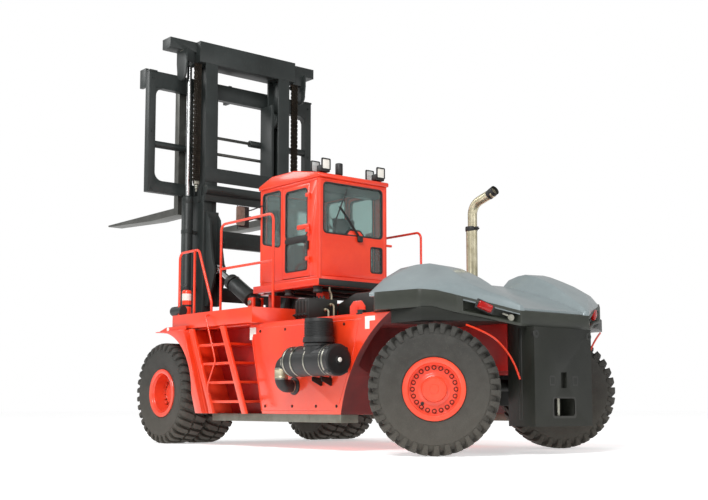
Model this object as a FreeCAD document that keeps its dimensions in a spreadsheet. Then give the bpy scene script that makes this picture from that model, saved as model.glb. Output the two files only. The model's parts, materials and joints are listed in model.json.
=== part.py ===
import FreeCAD, Part
import math
import os

import Sketcher
from FreeCAD import Rotation, Vector

# Heavy diesel forklift with its mast raised.  Millimetres, +X towards the forks, +Y left, +Z up.
# X is measured from the middle of the whole length; the ground is z = 0.
# Driving dimensions: everything below is worked out from these values.
SIZES = {
    # whole truck
    "wheelbase": 5670,
    "rear_overhang": 1040,
    "fork_reach": 3750,
    "half_width": 2000,
    "fit_gap": 0.3,
    # tyres and rims
    "tyre_radius": 807.5,
    "tyre_width": 490,
    "tread_width": 410,
    "dual_gap": 40,
    "bead_radius": 330,
    "bead_width": 380,
    "rim_radius": 386,
    "rim_wall": 28,
    "rim_lip": 30,
    "disc_wall": 32,
    "disc_depth": 275,
    "hub_radius": 235,
    "hub_cap_radius": 157,
    "hub_cap_length": 70,
    "hub_tail": 60,
    # drive axle
    "axle_tube_radius": 200,
    "axle_spindle_radius": 120,
    "differential_radius": 330,
    "differential_half": 300,
    "differential_crown": 180,
    "saddle_height": 42,
    "saddle_half": 150,
    # steering axle
    "kingpin_spread": 2534,
    "wheel_offset": 450,
    "rest_angle_left": 46,
    "rest_angle_right": 56,
    "yoke_half": 100,
    "yoke_height": 200,
    "yoke_wall": 75,
    "knuckle_radius": 85,
    "knuckle_gap": 6,
    "kingpin_radius": 45,
    "spindle_radius": 80,
    "steer_beam_half": 160,
    "steer_beam_height": 400,
    "steer_beam_end": 350,
    "steer_hub_radius": 200,
    "steer_disc_place": 570,
    "steer_hub_start": 150,
    "yoke_throat": 130,
    "steer_barrel_radius": 75,
    "steer_barrel_rise": 60,
    "steer_barrel_sink": 7.5,
    # main frame
    "frame_inner": 420,
    "frame_wall": 80,
    "frame_top": 1800,
    "frame_low": 600,
    "frame_front": 200,
    "frame_rear": 530,
    "cross_wall": 60,
    "cross_clear": 20,
    "board_gap": 100,
    "frame_rake": 320,
    "deck_wall": 20,
    "deck_half": 1700,
    "deck_front": 200,
    "deck_rear": 670,
    # side tanks and fenders
    "side_half": 1750,
    "side_low": 490,
    "arch_rise": 420,
    "swing_clear": 40,
    "tank_skin": 90,
    "tank_front_high": 2190,
    "tank_front_low": 2540,
    "arch_foot": 1294,
    "arch_top": 280,
    "step_half": 1450,
    "fender_inner": 985,
    "fender_radius": 970,
    "fender_tip": 170,
    "fender_back_high": 700,
    "fender_back_low": 1305,
    "fender_toe": 1100,
    # running boards, ladders, platforms
    "board_low": 380,
    "board_inner": 1450,
    "board_front": 1200,
    "stile_wall": 50,
    "stile_width": 110,
    "ladder_outer": 1960,
    "ladder_top_front": 810,
    "ladder_foot_front": 1430,
    "ladder_gap": 890,
    "rung_wall": 40,
    "rung_first": 157,
    "rung_step": 288,
    "platform_rear": 2480,
    "platform_half": 1900,
    "platform_inner": 600,
    "platform_top": 2050,
    "tilt_ear_inner": 700,
    "tilt_ear_outer": 860,
    # handrails
    "rail_radius": 20,
    "rail_bend": 110,
    "rail_front": 304,
    "rail_post": 764,
    "rail_corner": 886,
    "rail_foot": 1276,
    "rail_foot_rise": 150,
    "rail_top": 3060,
    "walk_rail_place": 1500,
    "walk_rail_top": 3480,
    "walk_rail_front": 1000,
    "walk_rail_rear": 2440,
    # cab
    "cab_front": 920,
    "cab_rear": 2500,
    "cab_half": 690,
    "cab_wall": 50,
    "base_half": 950,
    "base_front": 868,
    "base_rear": 2820,
    "base_low": 2400,
    "base_top": 2510,
    "base_notch": 30,
    "column_half": 80,
    "column_front": 1050,
    "column_rear": 2350,
    "column_width": 140,
    "cab_sill": 2600,
    "cab_sheet": 30,
    "window_rise_rear": 520,
    "window_rise_front": 630,
    "front_window_rise": 300,
    "rear_window_rise": 660,
    "rear_window_half": 610,
    "cab_top": 4130,
    "roof_wall": 70,
    "roof_lip": 30,
    "visor_height": 190,
    "visor_front": 350,
    "visor_rear": 630,
    "door_front": 1550,
    "door_rear": 2270,
    "door_low": 2610,
    "door_kick": 90,
    "door_sill": 570,
    "door_inset": 5,
    "door_gap": 6,
    "hinge_out": 22,
    "hinge_radius": 16,
    "hinge_slot": 9.6,
    "hinge_pin_radius": 8,
    "hinge_height": 60,
    "hinge_lug": 40,
    "hinge_first": 240,
    "hinge_second": 690,
    "hinge_third": 1240,
    "glass_wall": 10,
    "frame_bar": 55,
    # driver's seat and console
    "seat_middle": 1950,
    "seat_half": 250,
    "seat_rise": 350,
    "seat_pad": 120,
    "seat_back_half": 230,
    "seat_back_rise": 580,
    "seat_back_out": 100,
    "seat_back_in": 20,
    "seat_stand_half": 175,
    "console_front": 1010,
    "console_depth": 290,
    "console_slope": 220,
    "console_low": 620,
    "console_high": 720,
    "console_half": 260,
    # rear hood and counterweight
    "hood_front": 570,
    "hood_low": 1820,
    "hood_band_top": 2050,
    "hump_top": 2440,
    "hump_inner": 560,
    "hump_margin": 20,
    "hump_front_drop": 40,
    "hump_crest": 40,
    "hump_back": 400,
    "hump_back_drop": 130,
    "hump_tail": 540,
    "hump_tail_drop": 260,
    "hump_end_drop": 600,
    "hump_ridge": 1330,
    "hump_valley": 190,
    "band_bend": 360,
    "band_tail_top": 1780,
    "band_tail_low": 1590,
    "band_half": 1900,
    "band_side": 1750,
    "band_side_end": 230,
    "band_corner": 1400,
    "band_corner_end": 530,
    "band_step": 1060,
    "band_step_end": 695,
    "band_tail": 680,
    "band_tail_end": 930,
    "weight_low": 350,
    "weight_half": 550,
    "weight_step": 1650,
    "weight_front": 530,
    "tow_pin_radius": 32,
    "tow_mouth_low": 480,
    "tow_mouth_high": 700,
    "tow_mouth_half": 200,
    "tow_mouth_depth": 230,
    "tow_pin_place": 110,
    "tow_slot_half": 55,
    "tow_slot_low": 830,
    "tow_slot_high": 1030,
    "tow_slot_depth": 60,
    "weight_nose": 480,
    "weight_chamfer": 260,
    "weight_side": 1750,
    "weight_side_end": 280,
    "weight_corner": 1150,
    "weight_corner_end": 680,
    # engine, exhaust, intake
    "engine_front": 1770,
    "engine_rear": 370,
    "engine_half": 380,
    "engine_low": 1150,
    "engine_cover_front": 2900,
    "engine_cover_half": 640,
    "engine_cover_top": 2260,
    "engine_cover_low": 2120,
    "engine_cover_slope": 400,
    "exhaust_radius": 68,
    "exhaust_place": 500,
    "exhaust_back": 1040,
    "exhaust_top": 3520,
    "exhaust_tail": 420,
    "exhaust_tail_rise": 130,
    "exhaust_bend": 200,
    "cleaner_radius": 205,
    "cleaner_centre": 1205,
    "cleaner_gap": 20,
    "precleaner_radius": 190,
    "precleaner_place": 1490,
    "precleaner_height": 560,
    "cleaner_foot_front": 1770,
    "cleaner_foot_rear": 1420,
    "cleaner_foot_half": 90,
    "duct_radius": 90,
    "duct_place": 2340,
    "duct_height": 880,
    "duct_bend": 100,
    # small parts
    "valve_front": 2700,
    "valve_length": 280,
    "valve_inner": 700,
    "valve_outer": 1250,
    "valve_height": 360,
    "bottle_radius": 75,
    "bottle_back": 300,
    "bottle_place": 1700,
    "bottle_height": 420,
    "lamp_half": 60,
    "lamp_place": 560,
    "lamp_width": 90,
    "lamp_height": 130,
    "beacon_radius": 60,
    "beacon_back": 200,
    "beacon_place": 135,
    "beacon_height": 190,
    "mirror_back": 900,
    "mirror_wall": 40,
    "mirror_inner": 900,
    "mirror_width": 200,
    "mirror_low": 3500,
    "mirror_height": 350,
    "mirror_lap": 100,
    "mirror_arm_rise": 150,
    "cleaner_front": 2070,
    "cleaner_rear": 1090,
    # mast
    "mast_low": 450,
    "outer_rear": 420,
    "outer_depth": 515,
    "outer_half": 965,
    "outer_flange": 165,
    "outer_web": 40,
    "outer_wall": 50,
    "outer_top": 4250,
    "mast_gap": 20,
    "inner_half": 660,
    "inner_web": 40,
    "inner_wall": 40,
    "inner_web_place": 765,
    "inner_low": 2400,
    "inner_top": 6990,
    "beam_height": 370,
    "beam_ear_half": 1560,
    "cross_low": 3330,
    "cross_height": 290,
    "cross_depth": 110,
    "top_tube_radius": 85,
    "top_tube_in": 50,
    "top_bar_wall": 40,
    "top_bar_height": 120,
    "cross_half": 680,
    "bottom_tie_wall": 80,
    "bottom_tie_height": 250,
    "anchor_back": 80,
    "anchor_width": 120,
    "anchor_wall": 10,
    "anchor_rise": 250,
    "bracket_low": 2300,
    "bracket_high": 3950,
    "bracket_foot": 90,
    "bracket_nose": 90,
    "bracket_chin": 60,
    "bracket_chin_drop": 170,
    "bracket_brow": 30,
    "bracket_brow_rise": 100,
    "bracket_waist": 190,
    "bracket_waist_height": 3300,
    "bracket_neck": 120,
    "bracket_neck_drop": 150,
    "bracket_inner": 680,
    "bracket_outer": 880,
    "bracket_pin_radius": 35,
    "bracket_back_wall": 40,
    "pivot_brow": 40,
    "pivot_plate_wall": 100,
    "pivot_plate_inner": 820,
    "pivot_radius": 310,
    # lift cylinders and chains
    "lift_place": 1135,
    "lift_back": 676,
    "lift_barrel_radius": 98,
    "lift_rod_radius": 45,
    "lift_foot": 1560,
    "lift_barrel_top": 4200,
    "lift_rod_low": 3720,
    "foot_wall": 60,
    "foot_half": 100,
    "lift_floor": 60,
    "chain_wall": 140,
    "chain_depth": 40,
    "chain_rise": 190,
    "chain_back": 160,
    "chain_gap": 15,
    "beam_half": 1035,
    "beam_front": 25,
    "ear_back": 60,
    "ear_height": 180,
    "rod_head_half": 60,
    "cheek_place": 1270,
    "cheek_wall": 30,
    "cheek_half": 165,
    "cheek_toe_half": 143,
    "cheek_drop": 540,
    "tie_wall": 10,
    "tie_height": 250,
    "middle_tie": 2100,
    # tilt cylinders
    "tilt_place": 800,
    "tilt_eye_back": 940,
    "tilt_eye_rise": 220,
    "tilt_pin_ahead": 200,
    "tilt_pin_height": 2930,
    "tilt_barrel_radius": 125,
    "tilt_barrel_length": 700,
    "tilt_rod_radius": 50,
    "tilt_rod_start": 480,
    "tilt_tail": 130,
    "tilt_eye_half": 55,
    "tilt_ear_wall": 40,
    "tilt_floor": 30,
    "tilt_ring_radius": 100,
    "tilt_neck_half": 70,
    "tilt_pin_radius": 40,
    "tilt_rod_end": 60,
    "rod_eye_radius": 90,
    "rod_eye_hole": 60,
    "tilt_ear_front": 60,
    "tilt_ear_back": 100,
    "tilt_ear_top": 80,
    # carriage and forks
    "carriage_rear": 960,
    "carriage_wall": 140,
    "carriage_half": 1766,
    "carriage_drop": 550,
    "carriage_height": 2150,
    "carriage_low_bar": 210,
    "carriage_top_bar": 290,
    "carriage_post": 140,
    "roller_width": 90,
    "roller_plate_place": 580,
    "roller_plate_wall": 60,
    "roller_plate_half": 80,
    "roller_plate_height": 1850,
    "roller_low": 220,
    "roller_high": 1560,
    "shaft_radius": 55,
    "shaft_drop": 130,
    "eye_radius": 115,
    "eye_gap": 10,
    "lug_wall": 66,
    "lug_front": 80,
    "lug_drop": 140,
    "lug_rise": 190,
    "fork_shank_drop": 80,
    "fork_place": 930,
    "fork_width": 290,
    "fork_wall": 140,
    "fork_drop": 190,
    "blade_wall": 130,
    "fork_tip_wall": 30,
    "fork_heel": 900,
    "fork_gap": 5,
    "positioner_radius": 62,
    "positioner_rod_radius": 28,
    "positioner_end": 380,
    "positioner_floor": 40,
    "pusher_half": 30,
    "pusher_depth": 50,
    "pusher_height": 55,
    "rod_spare": 520,
    "positioner_rise": 1160,
    "positioner_drop": 300,
}

doc = FreeCAD.newDocument("Forklift")
sheet = doc.addObject("Spreadsheet::Sheet", "Sizes")


class Length:
    """A length together with the spreadsheet expression that gives it."""

    def __init__(self, value, text):
        self.value = value
        self.text = text

    def __add__(self, other):
        return Length(self.value + number(other), "(%s + %s)" % (self.text, words(other)))

    def __sub__(self, other):
        return Length(self.value - number(other), "(%s - %s)" % (self.text, words(other)))

    def __mul__(self, other):
        return Length(self.value * number(other), "(%s * %s)" % (self.text, words(other)))

    def __truediv__(self, other):
        return Length(self.value / number(other), "(%s / %s)" % (self.text, words(other)))

    def __radd__(self, other):
        return Length(number(other) + self.value, "(%s + %s)" % (words(other), self.text))

    def __rsub__(self, other):
        return Length(number(other) - self.value, "(%s - %s)" % (words(other), self.text))

    def __rmul__(self, other):
        return Length(number(other) * self.value, "(%s * %s)" % (words(other), self.text))

    def __neg__(self):
        return Length(-self.value, "(0 - %s)" % self.text)


class Driving:
    """The named driving dimensions, each one a Length."""


def number(value):
    return value.value if isinstance(value, Length) else float(value)


def square_root(value):
    return Length(math.sqrt(value.value), "sqrt(%s)" % value.text)


def slope_of(rise, run):
    """The angle in degrees of a line that climbs by rise over run."""
    return Length(math.degrees(math.atan2(rise.value, run.value)), "atan(%s / %s)" % (rise.text, run.text))


def words(value):
    return value.text if isinstance(value, Length) else "%.6f" % value


def fill_sheet():
    driving = Driving()
    for row, (name, value) in enumerate(SIZES.items(), start=1):
        sheet.set("A%d" % row, name)
        sheet.set("B%d" % row, str(value))
        sheet.setAlias("B%d" % row, name)
        setattr(driving, name, Length(float(value), "Sizes." + name))
    doc.recompute()
    return driving


d = fill_sheet()
nodes = []

# X of the drive axle and of the steering axle, with the whole length centred on X = 0.
front_axle = (d.wheelbase + d.rear_overhang - d.fork_reach) / 2
rear_axle = front_axle - d.wheelbase
# heights that follow from others
beam_low = d.inner_top - d.beam_height
carriage_top = d.inner_top - d.carriage_drop
carriage_low = carriage_top - d.carriage_height
shaft_height = carriage_top - d.shaft_drop
positioner_high = carriage_low + d.positioner_rise
fork_top = carriage_low - d.fork_drop
tilt_eye_height = d.platform_top + d.tilt_eye_rise
deck_top = d.frame_top + d.deck_wall


def ahead(value):
    """X of a place that lies this far ahead of the drive axle."""
    return front_axle + value


def behind(value):
    """X of a place that lies this far behind the drive axle."""
    return front_axle - value


def fore(value):
    """X of a place that lies this far ahead of the steering axle."""
    return rear_axle + value


def aft(value):
    """X of a place that lies this far behind the steering axle."""
    return rear_axle - value


def node(item, label):
    item.Label = label
    nodes.append(item)
    return item


def bind(item, prop, value):
    if isinstance(value, Length):
        item.setExpression(prop, value.text)
    else:
        item.setExpression(prop, "%.6f" % value)


def put(item, place, rotation=None):
    item.Placement = FreeCAD.Placement(Vector(*[number(value) for value in place]), rotation or Rotation())
    for letter, value in zip("xyz", place):
        bind(item, "Placement.Base." + letter, value)


def box(x, y, z):
    item = doc.addObject("Part::Box", "Box")
    bind(item, "Length", x[1] - x[0])
    bind(item, "Width", y[1] - y[0])
    bind(item, "Height", z[1] - z[0])
    put(item, (x[0], y[0], z[0]))
    return item


# Turns a cylinder or a local Y axis onto a row axis.
CYLINDER_TURNS = {
    "X": Rotation(Vector(0, 1, 0), 90),
    "Y": Rotation(Vector(1, 0, 0), -90),
    "Z": Rotation(),
}


def cylinder(axis, radius, start, length):
    item = doc.addObject("Part::Cylinder", "Cylinder")
    bind(item, "Radius", radius)
    bind(item, "Height", length)
    put(item, start, CYLINDER_TURNS[axis])
    return item


def fuse(items):
    item = doc.addObject("Part::MultiFuse", "Joined")
    item.Shapes = items
    item.Refine = True
    return item


def cut(base, tools):
    item = doc.addObject("Part::Cut", "Cut")
    item.Base = base
    item.Tool = tools[0] if len(tools) == 1 else fuse(tools)
    item.Refine = True
    return item


def common(items):
    item = doc.addObject("Part::MultiCommon", "Common")
    item.Shapes = items
    item.Refine = True
    return item


def mirrored(item):
    """The same piece on the other side of the truck."""
    other = doc.addObject("Part::Mirroring", "Mirrored")
    other.Source = item
    other.Normal = Vector(0, 1, 0)
    return other


def together(items):
    item = doc.addObject("Part::Compound", "Pair")
    item.Links = items
    return item


def both_sides(item):
    return together([item, mirrored(item)])


def new_body():
    return doc.addObject("PartDesign::Body", "Body")


def outline(body, plane, points, offset):
    """A closed sketch; a point with a third entry is the middle of an arc to the next point."""
    sketch = body.newObject("Sketcher::SketchObject", "Outline")
    support = [item for item in body.Origin.OriginFeatures if item.Role == plane + "_Plane"][0]
    sketch.AttachmentSupport = [(support, "")]
    sketch.MapMode = "FlatFace"
    bind(sketch, "AttachmentOffset.Base.z", offset)
    flat = [Vector(number(point[0]), number(point[1]), 0) for point in points]
    ends = []
    middles = []
    index = 0
    while index < len(points):
        here = flat[index]
        nearby = (index + 1) % len(points)
        if len(points[nearby]) == 3:
            far = (index + 2) % len(points)
            turn = (flat[nearby] - here).cross(flat[far] - flat[nearby]).z
            if turn > 0:
                arc = sketch.addGeometry(Part.Arc(here, flat[nearby], flat[far]))
                ends.append((arc, 1, 2, index))
            else:
                arc = sketch.addGeometry(Part.Arc(flat[far], flat[nearby], here))
                ends.append((arc, 2, 1, index))
            middles.append((arc, nearby))
            index += 2
        else:
            line = sketch.addGeometry(Part.LineSegment(here, flat[nearby]))
            ends.append((line, 1, 2, index))
            index += 1
    for place, (item, start, end, corner) in enumerate(ends):
        following = ends[(place + 1) % len(ends)]
        sketch.addConstraint(Sketcher.Constraint("Coincident", item, end, following[0], following[1]))
    for item, start, end, corner in ends:
        fix_point(sketch, item, start, points[corner], corner)
    for arc, corner in middles:
        dot = sketch.addGeometry(Part.Point(flat[corner]), True)
        fix_point(sketch, dot, 1, points[corner], corner)
        sketch.addConstraint(Sketcher.Constraint("PointOnObject", dot, 1, arc))
    return sketch


def fix_point(sketch, item, end, point, corner):
    for kind, value in (("DistanceX", point[0]), ("DistanceY", point[1])):
        rule = sketch.addConstraint(Sketcher.Constraint(kind, -1, 1, item, end, number(value)))
        name = "%s%d" % (kind, corner)
        sketch.renameConstraint(rule, name)
        bind(sketch, "Constraints." + name, value)


def pad(body, plane, points, low, high):
    """Adds the outline's prism between two places along the plane's own row axis."""
    offset = -high if plane == "XZ" else low
    feature = body.newObject("PartDesign::Pad", "Pad")
    feature.Profile = outline(body, plane, points, offset)
    bind(feature, "Length", high - low)
    body.Tip = feature
    return body


def pocket(body, plane, points, low, high):
    """Cuts the outline's prism away between two places along the plane's own row axis."""
    offset = -low if plane == "XZ" else high
    before = volume_of(body)
    feature = body.newObject("PartDesign::Pocket", "Pocket")
    feature.Profile = outline(body, plane, points, offset)
    bind(feature, "Length", high - low)
    body.Tip = feature
    if not volume_of(body) < before:
        raise RuntimeError("a pocket cut nothing")
    return body


def volume_of(body):
    doc.recompute()
    return body.Shape.Volume


def revolve(body, points):
    """Adds a solid of revolution about the body's own Y axis; points are (radius, along)."""
    feature = body.newObject("PartDesign::Revolution", "Turned")
    sketch = outline(body, "XY", points, 0)
    feature.Profile = sketch
    feature.ReferenceAxis = (sketch, ["V_Axis"])
    feature.Angle = 360
    body.Tip = feature
    return body


def prism(plane, points, low, high):
    return pad(new_body(), plane, points, low, high)


def rectangle(x, z):
    return [(x[0], z[0]), (x[1], z[0]), (x[1], z[1]), (x[0], z[1])]


def place_turned(body, place, angle):
    """Puts a body at a place, turned about the vertical by an angle in degrees."""
    put(body, place, Rotation(Vector(0, 0, 1), number(angle)))
    bind(body, "Placement.Rotation.Angle", angle)
    return body


def bent_tube(radius, points, bend):
    """A round tube along straight runs joined by arcs; its path leaves any one plane."""
    corners = [Vector(*[number(value) for value in point]) for point in points]
    edges = []
    start = corners[0]
    for before, corner, after in zip(corners, corners[1:], corners[2:]):
        back = (before - corner).normalize()
        on = (after - corner).normalize()
        half = back.getAngle(on) / 2
        reach = number(bend) / math.tan(half)
        first = corner + back * reach
        last = corner + on * reach
        inward = (back + on).normalize()
        middle = corner + inward * (number(bend) / math.sin(half) - number(bend))
        edges.append(Part.LineSegment(start, first).toShape())
        edges.append(Part.Arc(first, middle, last).toShape())
        start = last
    edges.append(Part.LineSegment(start, corners[-1]).toShape())
    path = Part.Wire(edges)
    ring = Part.Wire([Part.makeCircle(number(radius), corners[0], corners[1] - corners[0])])
    return path.makePipeShell([ring], True, False)


def tube_node(shapes):
    """One feature that holds joined tubes, read from the sheet's values."""
    solid = shapes[0] if len(shapes) == 1 else shapes[0].multiFuse(shapes[1:]).removeSplitter()
    item = doc.addObject("Part::Feature", "Tubes")
    item.Shape = solid
    return item


# ---------------------------------------------------------------- wheels


def tyre_points(middle):
    """Half section of a tyre about the wheel's axis, from bead to tread and back."""
    half = d.tyre_width / 2
    bead = d.bead_width / 2
    tread = d.tread_width / 2
    belly = (d.tyre_radius + d.rim_radius) / 2
    shoulder = d.tyre_radius - (d.tyre_width - d.tread_width) / 2
    return [
        (d.bead_radius, middle - bead), (d.rim_radius, middle - bead),
        (belly, middle - half), (shoulder, middle - half), (d.tyre_radius, middle - tread),
        (d.tyre_radius, middle + tread), (shoulder, middle + half), (belly, middle + half),
        (d.rim_radius, middle + bead), (d.bead_radius, middle + bead),
    ]


def rim_points(middle, disc, bore):
    """Half section of a rim: barrel, two lips and a disc that reaches in to the hub."""
    bead = d.bead_width / 2
    barrel = d.bead_radius - d.rim_wall
    return [
        (bore, disc - d.disc_wall), (barrel, disc - d.disc_wall), (barrel, middle - bead - d.rim_lip),
        (d.rim_radius, middle - bead - d.rim_lip), (d.rim_radius, middle - bead),
        (d.bead_radius, middle - bead), (d.bead_radius, middle + bead),
        (d.rim_radius, middle + bead), (d.rim_radius, middle + bead + d.rim_lip),
        (barrel, middle + bead + d.rim_lip), (barrel, disc), (bore, disc),
    ]


outer_tyre = d.half_width - d.tyre_width / 2
inner_tyre = outer_tyre - d.tyre_width - d.dual_gap
outer_disc = d.half_width - d.disc_depth
inner_disc = inner_tyre + d.disc_wall
spindle_end = outer_disc - d.disc_wall


def drive_wheels():
    for side, angle in (("left", 0), ("right", 180)):
        place = (front_axle, 0, d.tyre_radius)
        tyres = []
        rims = []
        for middle, disc in ((outer_tyre, outer_disc), (inner_tyre, inner_disc)):
            tyres.append(place_turned(revolve(new_body(), tyre_points(middle)), place, angle))
            rims.append(place_turned(revolve(new_body(), rim_points(middle, disc, d.hub_radius)), place, angle))
        node(together(tyres), "drive_tyres_" + side)
        bore = d.axle_spindle_radius + d.fit_gap
        hub = revolve(new_body(), [
            (bore, inner_disc - d.disc_wall - d.hub_tail), (d.hub_radius, inner_disc - d.disc_wall - d.hub_tail),
            (d.hub_radius, outer_disc), (d.hub_cap_radius, outer_disc),
            (d.hub_cap_radius, outer_disc + d.hub_cap_length), (0, outer_disc + d.hub_cap_length),
            (0, spindle_end + d.fit_gap), (bore, spindle_end + d.fit_gap),
        ])
        node(fuse(rims + [place_turned(hub, place, angle)]), "drive_rims_" + side)


def steer_wheels():
    kingpin = d.kingpin_spread / 2
    disc = d.steer_disc_place
    bore = d.spindle_radius + d.fit_gap
    hub_start = d.steer_hub_start
    spindle_stop = disc - d.disc_wall
    for side, turn, sign in (("left", d.rest_angle_left, 1), ("right", d.rest_angle_right + 180, -1)):
        place = (rear_axle, sign * kingpin, d.tyre_radius)
        tyre = revolve(new_body(), tyre_points(d.wheel_offset))
        node(place_turned(tyre, place, turn), "steer_tyre_" + side)
        rim = revolve(new_body(), rim_points(d.wheel_offset, disc, d.steer_hub_radius))
        place_turned(rim, place, turn)
        hub = revolve(new_body(), [
            (bore, hub_start), (d.steer_hub_radius, hub_start), (d.steer_hub_radius, disc),
            (d.hub_cap_radius, disc), (d.hub_cap_radius, disc + d.hub_cap_length),
            (0, disc + d.hub_cap_length), (0, spindle_stop + d.fit_gap), (bore, spindle_stop + d.fit_gap),
        ])
        node(fuse([rim, place_turned(hub, place, turn)]), "steer_rim_" + side)
        knuckle = revolve(new_body(), [
            (0, 0), (d.spindle_radius, 0), (d.spindle_radius, spindle_stop), (0, spindle_stop),
        ])
        half = d.yoke_height - d.yoke_wall - d.knuckle_gap
        pad(knuckle, "XY", disc_points(d.knuckle_radius), -half, half)
        pocket(knuckle, "XY", disc_points(d.kingpin_radius + d.fit_gap), -half - 1, half + 1)
        node(place_turned(knuckle, place, turn), "knuckle_" + side)


def disc_points(radius):
    """A circle about the body's own axis, as two half arcs."""
    return [(radius, 0), (0, radius, "arc"), (-radius, 0), (0, -radius, "arc")]


# ---------------------------------------------------------------- axles


def drive_axle():
    tube_end = inner_disc - d.disc_wall - d.hub_tail - d.fit_gap
    casing = revolve(new_body(), [
        (0, -spindle_end), (d.axle_spindle_radius, -spindle_end), (d.axle_spindle_radius, -tube_end),
        (d.axle_tube_radius, -tube_end), (d.axle_tube_radius, -d.differential_half),
        (d.differential_radius, -d.differential_crown), (d.differential_radius, d.differential_crown),
        (d.axle_tube_radius, d.differential_half), (d.axle_tube_radius, tube_end),
        (d.axle_spindle_radius, tube_end), (d.axle_spindle_radius, spindle_end), (0, spindle_end),
    ])
    place_turned(casing, (front_axle, 0, d.tyre_radius), 0)
    top = d.tyre_radius + d.axle_tube_radius
    frame = (d.frame_inner, d.frame_inner + d.frame_wall)
    saddle = box((behind(d.saddle_half), ahead(d.saddle_half)), frame, (d.tyre_radius, top + d.saddle_height))
    node(fuse([casing, saddle, mirrored(saddle)]), "drive_axle")


def steer_axle():
    kingpin = d.kingpin_spread / 2
    inner = kingpin - d.steer_beam_end
    low = d.tyre_radius - d.steer_beam_height / 2
    high = d.tyre_radius + d.steer_beam_height / 2
    x = (rear_axle - d.steer_beam_half, rear_axle + d.steer_beam_half)
    beam = box(x, (-inner, inner), (low, high))
    neck = (rear_axle - d.yoke_half, rear_axle + d.yoke_half)
    yokes = []
    for sign in (1, -1):
        ends = (inner, kingpin + d.yoke_half) if sign == 1 else (-kingpin - d.yoke_half, -inner)
        far = kingpin + d.yoke_half + 10
        near = inner + d.yoke_throat
        gap = (near, far) if sign == 1 else (-far, -near)
        half = d.yoke_height
        slot = d.yoke_height - d.yoke_wall
        block = box(neck, ends, (d.tyre_radius - half, d.tyre_radius + half))
        space = box((neck[0] - 10, neck[1] + 10), gap, (d.tyre_radius - slot, d.tyre_radius + slot))
        yokes.append(cut(block, [space]))
        yokes.append(cylinder("Z", d.kingpin_radius, (rear_axle, sign * kingpin, d.tyre_radius - half), half * 2))
    pad_low = (d.frame_inner, d.frame_inner + d.frame_wall)
    saddle = box(x, pad_low, (high, d.tyre_radius + d.axle_tube_radius + d.saddle_height))
    radius = d.steer_barrel_radius
    behind_beam = aft(d.steer_beam_half + radius - d.steer_barrel_sink)
    barrel = cylinder("Y", radius, (behind_beam, -d.frame_inner, d.tyre_radius + d.steer_barrel_rise),
                      d.frame_inner * 2)
    node(fuse([beam] + yokes + [saddle, mirrored(saddle), barrel]), "steer_axle")


# ---------------------------------------------------------------- frame and body


def main_frame():
    axle_top = d.tyre_radius + d.axle_tube_radius + d.saddle_height
    y = (d.frame_inner, d.frame_inner + d.frame_wall)
    # behind the bend the rails run down as the hood's band does
    tail_slope = (d.hood_low - d.band_tail_low) / (d.band_tail_end - d.band_bend)
    tail_drop = (d.frame_rear - d.band_bend) * tail_slope
    plate = prism("XZ", [
        (ahead(d.frame_front), axle_top), (ahead(d.frame_front), d.frame_top),
        (aft(d.band_bend), d.frame_top), (aft(d.frame_rear), d.frame_top - tail_drop),
        (aft(d.frame_rear), axle_top),
        (fore(d.frame_rake), axle_top), (fore(d.arch_foot), d.frame_low),
        (behind(d.fender_back_low), d.frame_low), (behind(d.fender_radius - 100), axle_top),
    ], y[0], y[1])
    pieces = [plate, mirrored(plate)]
    z = (d.tyre_radius + d.differential_radius + d.cross_clear, d.frame_top - d.cross_wall)
    starts = (ahead(d.frame_front - d.cross_wall), behind(d.fender_back_low), fore(d.engine_front + d.board_gap))
    for start in starts:
        pieces.append(box((start, start + d.cross_wall), (-d.frame_inner, d.frame_inner), z))
    node(fuse(pieces), "main_frame")


def side_tanks():
    inner = d.frame_inner + d.frame_wall
    arch_middle = (d.arch_foot + d.arch_top) / 2 + d.cross_wall
    tank = prism("XZ", [
        (behind(d.tank_front_high), d.frame_top), (behind(d.tank_front_low), d.side_low),
        (fore(d.arch_foot), d.side_low), (fore(arch_middle), d.frame_top - d.arch_rise, "arc"),
        (fore(d.arch_top), d.frame_top),
    ], inner, d.side_half)
    # behind its skin the tank is hollowed for the swing of the steered tyre
    reach = d.wheel_offset + d.tyre_width / 2
    swing = square_root(d.tyre_radius * d.tyre_radius + reach * reach) + d.swing_clear
    top = d.tyre_radius * 2 + d.swing_clear
    sweep = cylinder("Z", swing, (rear_axle, d.kingpin_spread / 2, d.side_low - 1), top - d.side_low + 1)
    room = box((rear_axle, rear_axle + swing + 1), (0, d.side_half - d.tank_skin), (d.side_low - 2, top))
    node(both_sides(cut(tank, [common([sweep, room])])), "side_tanks")
    step = prism("XZ", [
        (behind(d.fender_back_high), d.frame_top), (behind(d.fender_back_low), d.side_low),
        (behind(d.tank_front_low), d.side_low), (behind(d.tank_front_high), d.frame_top),
    ], inner, d.step_half)
    node(both_sides(step), "step_boxes")


def fenders():
    rise = d.frame_top - d.tyre_radius
    low = d.side_low
    # the inside of the arch is a circle about the drive axle
    drop = d.fender_radius * 0.707107
    fender = prism("XZ", [
        (ahead(d.fender_tip), d.frame_top), (behind(d.fender_back_high), d.frame_top),
        (behind(d.fender_back_low), low), (behind(d.fender_toe), low),
        (behind(d.fender_radius), d.tyre_radius), (behind(drop), d.tyre_radius + drop, "arc"),
        (ahead(0), d.tyre_radius + d.fender_radius), (ahead(d.fender_tip), d.tyre_radius + rise - 15),
    ], d.fender_inner, d.half_width)
    node(both_sides(fender), "fenders")


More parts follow.
